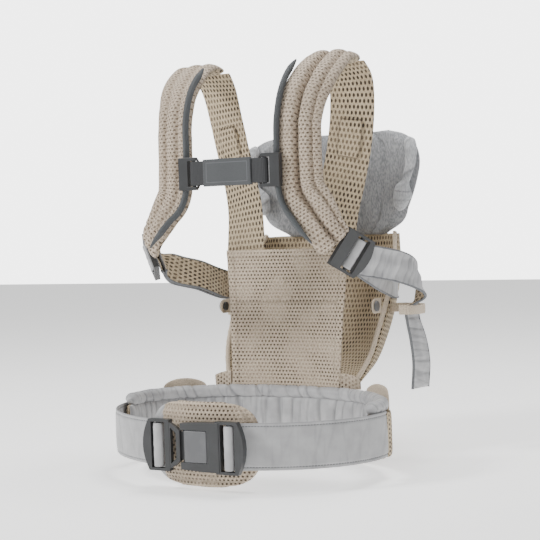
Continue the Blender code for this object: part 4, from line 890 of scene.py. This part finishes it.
# ---------------------------------------------------------------- keepers and snap tabs
for side, mirror in SIDES:
    at_x, at_y, _ = RIGHT_FREE[7] if side == "right" else LEFT_FREE[8]
    node_low, node_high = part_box(f"strap_keeper_{side}")
    root = float(node_low[0]) if side == "right" else -float(node_high[0])
    inner_x, outer_x = at_x - 0.0074, at_x + 0.0074
    near, far = at_y - 0.0222, at_y + 0.0222
    loop = np.array([
        (root, far - 0.0010), (outer_x - 0.006, far + 0.0004), (outer_x - 0.001, far - 0.002),
        (outer_x + 0.0008, far - 0.010), (outer_x + 0.0010, at_y), (outer_x + 0.0008, near + 0.008),
        (outer_x - 0.002, near + 0.0002), (at_x, near - 0.0006), (inner_x + 0.002, near + 0.0002),
        (inner_x - 0.0006, near + 0.008), (inner_x - 0.0008, at_y), (inner_x - 0.0008, far - 0.010),
    ])
    path = catmull(loop, np.linspace(0, 11, 110))
    run = lengths(path)
    s, w = np.meshgrid(run, np.linspace(-1, 1, 14), indexing="ij")
    lean = 0.0006 * np.sin(s * 90)
    mid = float(node_low[2] + node_high[2]) / 2
    grid = np.stack([path[:, :1] + 0 * w, path[:, 1:] + 0 * w, mid + 0.0050 * w + lean], -1) * (mirror, 1, 1)
    outer, inner = sheet_sides(grid, 0.0015 - 0.0007 * w**8)
    piece = skin(f"keeper_loop_{side}", outer, inner, cloth_at(0.005 * w, s), PLAIN_BEIGE, ROOT,
                 (f"strap_keeper_{side}",))

    low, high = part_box(f"snap_tab_{side}")
    w, v = np.meshgrid(np.linspace(0, 1, 36), drawn_out(24), indexing="ij")
    round_end = np.sqrt(np.clip(1 - np.clip((0.30 - w) / 0.34, 0, 1) ** 2, 0.05, 1))
    mid = (low + high) / 2
    grid = np.stack([
        float(mid[0]) + 0 * w, float(low[1]) + float(high[1] - low[1]) * w,
        float(mid[2]) + 0.5 * float(high[2] - low[2]) * v * round_end,
    ], -1)
    outer, inner = sheet_sides(grid, 0.0015 - 0.0007 * np.abs(v) ** 10)
    piece = skin(f"snap_tab_cloth_{side}", outer, inner, cloth_at(0.008 * v, 0.024 * w), PLAIN_BEIGE,
                 ROOT, (f"snap_tab_{side}",))


# ---------------------------------------------------------------- head support
HEAD_SECTIONS = [
    (0.1985, 0.0640), (0.2120, 0.0880), (0.2300, 0.0980), (0.2550, 0.1080), (0.2800, 0.1140), (0.3000, 0.1090),
    (0.3130, 0.0950), (0.3205, 0.0720),
]


def head_cushion():
    """A flap bent back at both sides (y falls with x squared), with rounded edges. Two curved seams part its
    wings from the middle, and each wing's rim is a soft roll turned towards the wearer."""
    rows = catmull(HEAD_SECTIONS, 3.5 - 3.5 * np.cos(np.linspace(0, np.pi, 56)))
    v = np.linspace(-1, 1, 56)[:, None]
    u = drawn_out(84)[None]
    x = rows[:, 1:2] * u
    low_edge = 0.0035 * np.clip(-v, 0, 1) ** 2  # it reaches down to the pouch's top edge
    middle = 0.2440 - 0.0240 * (x / 0.114) ** 2 - 0.0068
    lift = plump(u, 5, 0.06) * plump(v, 7, 0.10)
    z = rows[:, :1] + 0 * x - low_edge
    fold = bump(z, 0.2440 + 0.35 * np.abs(x), 0.0022) * (np.abs(u) < 0.6)
    seams = bump(np.abs(u), 0.60 + 0.10 * v**2, 0.035) + 0.5 * fold
    puffed = 0.0056 - 0.0030 * seams + 0.0008 * ripple(x, z * 30, 0.05, 0.8, 0.5)
    rim = 0.0030 * bump(np.abs(u), 0.88, 0.08)
    outer = np.stack([x, middle + lift * puffed, z], -1)
    inner = np.stack([x, middle - lift * (puffed + rim), z], -1)
    line = bump(np.abs(u), 0.60 + 0.10 * v**2, 0.008) + bump(np.abs(u), 0.30, 0.006) * (v > -0.2)
    line = line + bump(v, -0.88, 0.012)
    return outer, inner, cloth_at(x, z, 1 - np.clip(0.7 * line, 0, 0.8))


outer, inner, cloth = head_cushion()
names = ("head_support_cover", "head_support_foam", "head_support_lining")
piece = skin("head_support_cushion", outer, inner, cloth, JERSEY, "head_support", names)
swell(piece, 0.0022)
smooth(piece)


for side, mirror in SIDES:
    # The wing's lining turned in along its edge, fattest at the foot where it is tucked into a knob; its paler jersey
    # is painted light on the roll.
    line = [
        (0.1000, 0.2150, 0.3090), (0.1050, 0.2095, 0.2880), (0.1000, 0.2075, 0.2640), (0.0930, 0.2090, 0.2440),
        (0.0870, 0.2130, 0.2240),
    ]
    centre = catmull(line, np.linspace(0, 4, 90)) * (mirror, 1, 1)
    ahead = unit(np.gradient(centre, axis=0))
    around = unit(np.cross(ahead, np.array([0.0, -1.0, 0.0])))
    towards = unit(np.cross(around, ahead))
    t = np.linspace(0, 1, 90)[:, None]
    a = np.linspace(0, 2 * np.pi, 28, endpoint=False)[None]
    fat = 0.0042 + 0.0028 * bump(t, 0.74, 0.13) - 0.0010 * bump(t, 0.58, 0.04) + 0.0008 * np.sin(t * 9)
    fat = fat * np.sqrt(np.clip(np.minimum(t, 1 - t) / 0.06, 0.03, 1)) * (1 + 0.10 * ripple(t * 0.1, a, 0.03, 1.0, 0.9))
    rings, cloth = rolled(centre, around, towards, fat * 1.5, fat, 28)
    cloth[..., 2] = 1 - np.clip(0.7 * creases(t * 0.12, a / np.pi, 0.030, 0.4, 0.07), 0, 0.8)
    piece = tube(f"head_wing_fold_{side}", rings, cloth, LIT_WING_JERSEY, "head_support", ())


# ---------------------------------------------------------------- waist belt
def on_waist(degrees, inward):
    """A point of the waist's two half ellipses, moved inward along its normal."""
    t = np.radians(degrees)
    b = np.where(t > 0, WAIST_FRONT, WAIST_BACK)
    normal = unit(np.stack([np.cos(t) / WAIST_HALF, np.sin(t) / b], -1))
    return np.stack([WAIST_HALF * np.cos(t), b * np.sin(t)], -1) - normal * inward[..., None]


def hip_blend(d):
    """0 at the wearer's back and 1 at the middle of the baby's side, where the belt is tallest."""
    return np.maximum(0.0, np.sin(np.radians(d))) ** 0.7


d, v = np.meshgrid(np.linspace(-14, 194, 300), drawn_out(34), indexing="ij")
top = 0.020 + 0.001 * hip_blend(d)
bottom = -0.022 - 0.018 * hip_blend(d)
s = np.radians(d) * WAIST_RADIUS
near = np.clip((d + 14) / 5, 0, 1)
far = np.clip((194 - d) / 5, 0, 1)
end = np.sqrt(1 - (1 - near) ** 2) * np.sqrt(1 - (1 - far) ** 2)
lift = plump(v, 5, 0.08) * (0.12 + 0.88 * end)
z = (top + 0.0015 + bottom) / 2 + (top + 0.0015 - bottom) / 2 * v * (0.90 + 0.10 * end)
seam = 0.0024 * bump(v, -0.80, 0.05)
upper = np.clip(0.75 + 0.5 * v, 0.1, 1)  # the creases fade towards the pad's foot
gathers = 0.0006 * ripple(s, v, 0.030, 0.4, 0.2) - 0.0030 * creases(s, v, 0.013, 0.12, 0.10) * upper
outer_in = 0.0093 - lift * (0.0062 - 0.5 * seam)
inner_in = 0.0093 + lift * (0.0064 + gathers - seam)
outer = np.concatenate([on_waist(d, outer_in), z[..., None]], -1)
inner = np.concatenate([on_waist(d, inner_in), z[..., None]], -1)
names = ("waist_belt_cover", "waist_belt_foam", "waist_belt_lining")
sunk = 0.85 * creases(s, v, 0.013, 0.12, 0.08) * upper + 0.6 * bump(v, -0.80, 0.03)
cloth = cloth_at(z, s, 1 - np.clip(sunk, 0, 0.95))
piece = skin("belt_pad", outer, inner, cloth, OPEN_MESH, ROOT, names, GATHERED_NYLON)
smooth(piece)

# The roll of nylon gathered on top of it: an uneven tube with folds that run slantwise round it.
d = np.linspace(-11, 191, 420)
line = on_waist(d, np.full(420, 0.0090))
centre = np.concatenate([line, (0.020 + 0.001 * hip_blend(d) + 0.0065)[:, None]], -1)
s = np.radians(d) * WAIST_RADIUS
ahead = unit(np.gradient(centre, axis=0))
upward = np.tile([0.0, 0.0, 1.0], (420, 1))
side_out = unit(np.cross(ahead, upward))
a = np.linspace(0, 2 * np.pi, 36, endpoint=False)[None]
folds = 0.35 * ripple(s[:, None], a, 0.045, 0.6, 0.7) - 1.5 * creases(s[:, None], a / np.pi, 0.016, 0.55, 0.09)
shut = np.sqrt(np.clip(np.minimum(d + 11, 191 - d) / 4, 0.03, 1.0))[:, None]
reach = shut * (0.0070 + 0.0010 * folds)
rings, cloth = rolled(centre, side_out, upward, reach * 1.05, reach, 36)
cloth[..., 2] = 1 - 0.85 * creases(s[:, None], a / np.pi, 0.016, 0.55, 0.07)
piece = tube("belt_gathered_roll", rings, cloth, GATHERED_NYLON, ROOT, ("waist_belt_roll",))

# The belt's straps, from their turns round the buckle's bars to the hips.
for side, mirror in SIDES:
    d = np.linspace(-69, 3, 19)
    hips = on_waist(d, np.full(19, 0.0012))
    points = [(0.038, -0.1101, 0.0), (0.045, -0.1101, 0.0)] + [(p[0], p[1], 0.0) for p in hips]
    t = np.radians(d)
    b = np.where(t > 0, WAIST_FRONT, WAIST_BACK)
    faces = [(0.0, -1.0, 0.0)] * 2 + [(math.cos(r) / WAIST_HALF, math.sin(r) / k, 0.0) for r, k in zip(t, b)]
    route = Route(points, faces, [BELT_STRAP] * len(points), 170, mirror)
    outer, inner, cloth = pad(
        route,
        lambda u, s: 0.0015 + 0.0005 * ripple(s, u, 0.06, 1.0, 0.6) * (1 - u**4) - 0.0010 * bump(np.abs(u), 0.86, 0.03)
        - 0.0007 * creases(s, u, 0.026, 0.35, 0.10) * (1 - u**4) * np.clip(s / 0.12, 0.1, 1),
        lambda u, s: 0.0012 - 0.0002 * ripple(s, u, 0.05, 1.0, 0.6),
        columns=44, ends=(0.001, 0.001), blunt=1.0, edge=0.25,
        shadow=lambda u, s: np.clip(0.40 * creases(s, u, 0.026, 0.35, 0.10) * np.clip(s / 0.15, 0.1, 1)
                                    + 0.45 * bump(np.abs(u), 0.995, 0.025), 0, 0.9),
    )
    moves = side == "left"
    piece = skin(f"belt_strap_band_{side}", outer, inner, cloth, SEAT_NYLON, None if moves else ROOT,
                 (f"belt_strap_{side}",))
    flat = (BELT_STRAP, float(round(route.length, 3)))
    if moves:
        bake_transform(piece)

    # Past its end the cover's mesh comes round over the strap as a turned edge.
    d, v = np.meshgrid(np.linspace(2.2, 14, 40), np.linspace(-1, 1, 40), indexing="ij")
    swollen = 0.0022 * np.sqrt(np.clip(1 - ((d - 8.1) / 6.2) ** 2, 0.02, 1)) * (1 - 0.5 * v**8)
    flat_u, z = np.radians(d) * WAIST_RADIUS, -0.0012 + 0.0222 * v
    sleeve = [
        np.concatenate([on_waist(d, inward) * (mirror, 1), z[..., None]], -1)
        for inward in (-swollen + 0.0006, 0.0022 + 0 * d)
    ]
    skin(f"belt_strap_hem_{side}", *sleeve, cloth_at(z, flat_u), OPEN_MESH, ROOT, ())

    turn = np.radians(np.linspace(-90 - 125, -90 + 125, 50))
    a, w = np.meshgrid(turn, np.linspace(-BELT_TURN / 2, BELT_TURN / 2, 30), indexing="ij")
    radius = 0.0029 + 0.0012 + 0.0002 * ripple(w, a, 0.014, 1.0, 0.5) * (1 - (2 * w / BELT_TURN) ** 6)
    grid = np.stack([(0.0400 + radius * np.cos(a)) * mirror, -0.1172 + radius * np.sin(a), w], -1)
    outer, inner = sheet_sides(grid, 0.0022 - 0.0008 * (2 * w / BELT_TURN) ** 12)
    piece = skin(f"belt_strap_turn_{side}", outer, inner, cloth_at(w, 0.0041 * (a - turn[0])),
                 SHADED_NYLON, "buckle_tongue" if moves else ROOT, (f"belt_strap_wrap_{side}",))


# ---------------------------------------------------------------- lumbar pad
LUMBAR_ARC, LUMBAR_CENTRE = 0.19516, 0.094159  # the radius of the arc it slides on, and its middle in y


def lumbar_cushion():
    """A rounded oblong bent on the arc that it slides along: its two faces bulge from the arc by 5.6 mm, less at
    the rim, with a sewn channel just inside the rim."""
    v = drawn_out(46)[:, None]
    u = drawn_out(60)[None]
    half = 0.062 * np.maximum((1 - np.abs(v) ** 3.2) ** (1 / 3.2), 0.45)
    x, z = half * u, 0.043 * v + 0 * u
    lift = plump(u, 5, 0.06) * plump(v, 5, 0.08)
    channel = bump(np.abs(u), 0.86, 0.035) * (np.abs(v) < 0.9) + bump(np.abs(v), 0.84, 0.035) * (np.abs(u) < 0.9)
    channel = np.clip(channel, 0, 1)
    puffed = lift * (0.0056 - 0.0016 * channel)
    bent = x / LUMBAR_ARC
    faces = []
    for sign in (1, -1):
        radius = LUMBAR_ARC + sign * puffed
        faces.append(np.stack([radius * np.sin(bent), LUMBAR_CENTRE - radius * np.cos(bent), z], -1))
    return faces[0], faces[1], cloth_at(x, z, 1 - 0.35 * channel)


outer, inner, cloth = lumbar_cushion()
names = ("lumbar_pad_cover", "lumbar_pad_foam", "lumbar_pad_lining")
piece = skin("lumbar_cushion", outer, inner, cloth, PANEL_MESH, "lumbar_pad", names)
piece.data.materials.append(SHADED_NYLON)
centres = np.empty(len(piece.data.polygons) * 3, np.float32)
piece.data.polygons.foreach_get("center", centres)
piece.data.polygons.foreach_set("material_index", (centres.reshape(-1, 3)[:, 0] < -0.044).astype(np.int32))
swell(piece, 0.0016)
smooth(piece)


# ---------------------------------------------------------------- mouldings and springs
MOULDINGS = {
    "waist_buckle_housing": ACETAL, "waist_buckle_tongue": ACETAL, "waist_buckle_button": PLATE_ACETAL,
    "chest_clip_right": ACETAL, "chest_clip_left": ACETAL, "strap_adjuster_right": ACETAL,
    "strap_adjuster_left": ACETAL, "snap_cap_right": PLATE_ACETAL, "snap_cap_left": PLATE_ACETAL,
    "snap_socket_right": ACETAL, "snap_socket_left": ACETAL,
}
for name, finish in MOULDINGS.items():
    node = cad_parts[name]
    node.data.materials.clear()
    node.data.materials.append(finish)
    weld = node.modifiers.new("weld", "WELD")
    weld.merge_threshold = 0.00002
    edge = node.modifiers.new("edge", "BEVEL")
    edge.width = 0.0004
    edge.segments = 2
    edge.limit_method = "ANGLE"
    edge.angle_limit = math.radians(35)
# The button's springs: three turns of wire, at their rest length.
for name in ("button_spring_upper", "button_spring_lower"):
    low, high = (np.array(corner, float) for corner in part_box(name))
    middle, reach = (low + high) / 2, float(high[2] - low[2]) / 2 - 0.00025
    turn = np.linspace(0, 6 * np.pi, 160)
    radial = np.stack([np.cos(turn), 0 * turn, np.sin(turn)], -1)
    centre = middle * (1, 0, 1) + reach * radial
    centre[:, 1] = np.linspace(low[1] + 0.0003, high[1] - 0.0003, 160)
    rings, cloth = rolled(centre, radial, unit(np.cross(np.gradient(centre, axis=0), radial)), 0.00025, 0.00025, 8)
    piece = tube(f"{name}_wire", rings, cloth, WIRE, ROOT, (name,))
    foot = (float(middle[0]), float(high[1]), float(middle[2]))
    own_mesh(piece)


# ---------------------------------------------------------------- floor, light and camera
def painted_floor():
    """Matt paper, sprayed white: it scatters light evenly, with a trace of mottling 80 mm across."""
    material, tree, shader = begin("matt white paper")
    place = add(tree, "TexCoord").outputs["Object"]
    cloudy = add(tree, "TexNoise", {"Vector": place, "Scale": 12.0})
    mix = add(tree, "Mix", {0: cloudy, 6: srgb("#F4F4F3"), 7: srgb("#EFEFEE")}, data_type="RGBA")
    glow = {"Emission Color": srgb("#FFFFFF"), "Emission Strength": 0.75}
    feed(tree, shader, {"Base Color": mix.outputs[2], "Roughness": 0.95} | glow)
    return material


floor_z = float(CAD_BOX[0][2]) - 0.002
across = np.linspace(-4, 4, 60)
x, y = np.meshgrid(across, across, indexing="ij")
ids = np.arange(3600).reshape(60, 60)
quads = np.stack([ids[:-1, :-1], ids[1:, :-1], ids[1:, 1:], ids[:-1, 1:]], -1).reshape(-1, 4)
mesh = bpy.data.meshes.new("floor")
mesh.from_pydata(np.stack([x, y, np.full_like(x, floor_z)], -1).reshape(-1, 3).tolist(), [], quads.tolist())
mesh.materials.append(painted_floor())
floor = bpy.data.objects.new("floor", mesh)
bpy.context.scene.collection.objects.link(floor)

world = bpy.data.worlds.new("soft room")
bpy.context.scene.world = world
world.use_nodes = True
sky = next(n for n in world.node_tree.nodes if n.type == "BACKGROUND")
# The room lights the object gently, and its own walls are seen as white.
seen = add(world.node_tree, "LightPath").outputs["Is Camera Ray"]
walls = add(world.node_tree, "MapRange", {0: seen, 3: 0.42, 4: 4.5})
feed(world.node_tree, sky, {"Color": srgb("#FFFFFF"), "Strength": walls})


def soft_lamp(name, place, size, power):
    light = bpy.data.lights.new(name, "AREA")
    light.energy = power
    light.size = size
    lamp = bpy.data.objects.new(name, light)
    bpy.context.scene.collection.objects.link(lamp)
    lamp.location = place
    lamp.rotation_euler = (Vector((0.0, 0.03, 0.18)) - Vector(place)).to_track_quat("-Z", "Y").to_euler()


soft_lamp("key", (-1.15, -1.15, 1.2), 0.45, 34)
soft_lamp("fill", (1.6, -1.3, 0.5), 1.0, 6)
soft_lamp("top", (0.2, 0.4, 1.6), 0.7, 26)

turn, rise, roll = (math.radians(a) for a in (28.0, 2.0, 1.9))
away = Vector((math.sin(turn) * math.cos(rise), -math.cos(turn) * math.cos(rise), math.sin(rise)))
flat = Vector((math.cos(turn), math.sin(turn), 0.0))
steep = Vector((-math.sin(turn) * math.sin(rise), math.cos(turn) * math.sin(rise), math.cos(rise)))
right = flat * math.cos(roll) - steep * math.sin(roll)
upward = steep * math.cos(roll) + flat * math.sin(roll)
lens = bpy.data.cameras.new("camera")
lens.sensor_width = 36.0
lens.lens = 86.7
camera = bpy.data.objects.new("camera", lens)
bpy.context.scene.collection.objects.link(camera)
turned = Matrix((right, upward, away)).transposed().to_4x4()
turned.translation = Vector((0.018, 0.019, 0.165)) + away * 1.37
camera.matrix_world = turned
bpy.context.scene.camera = camera
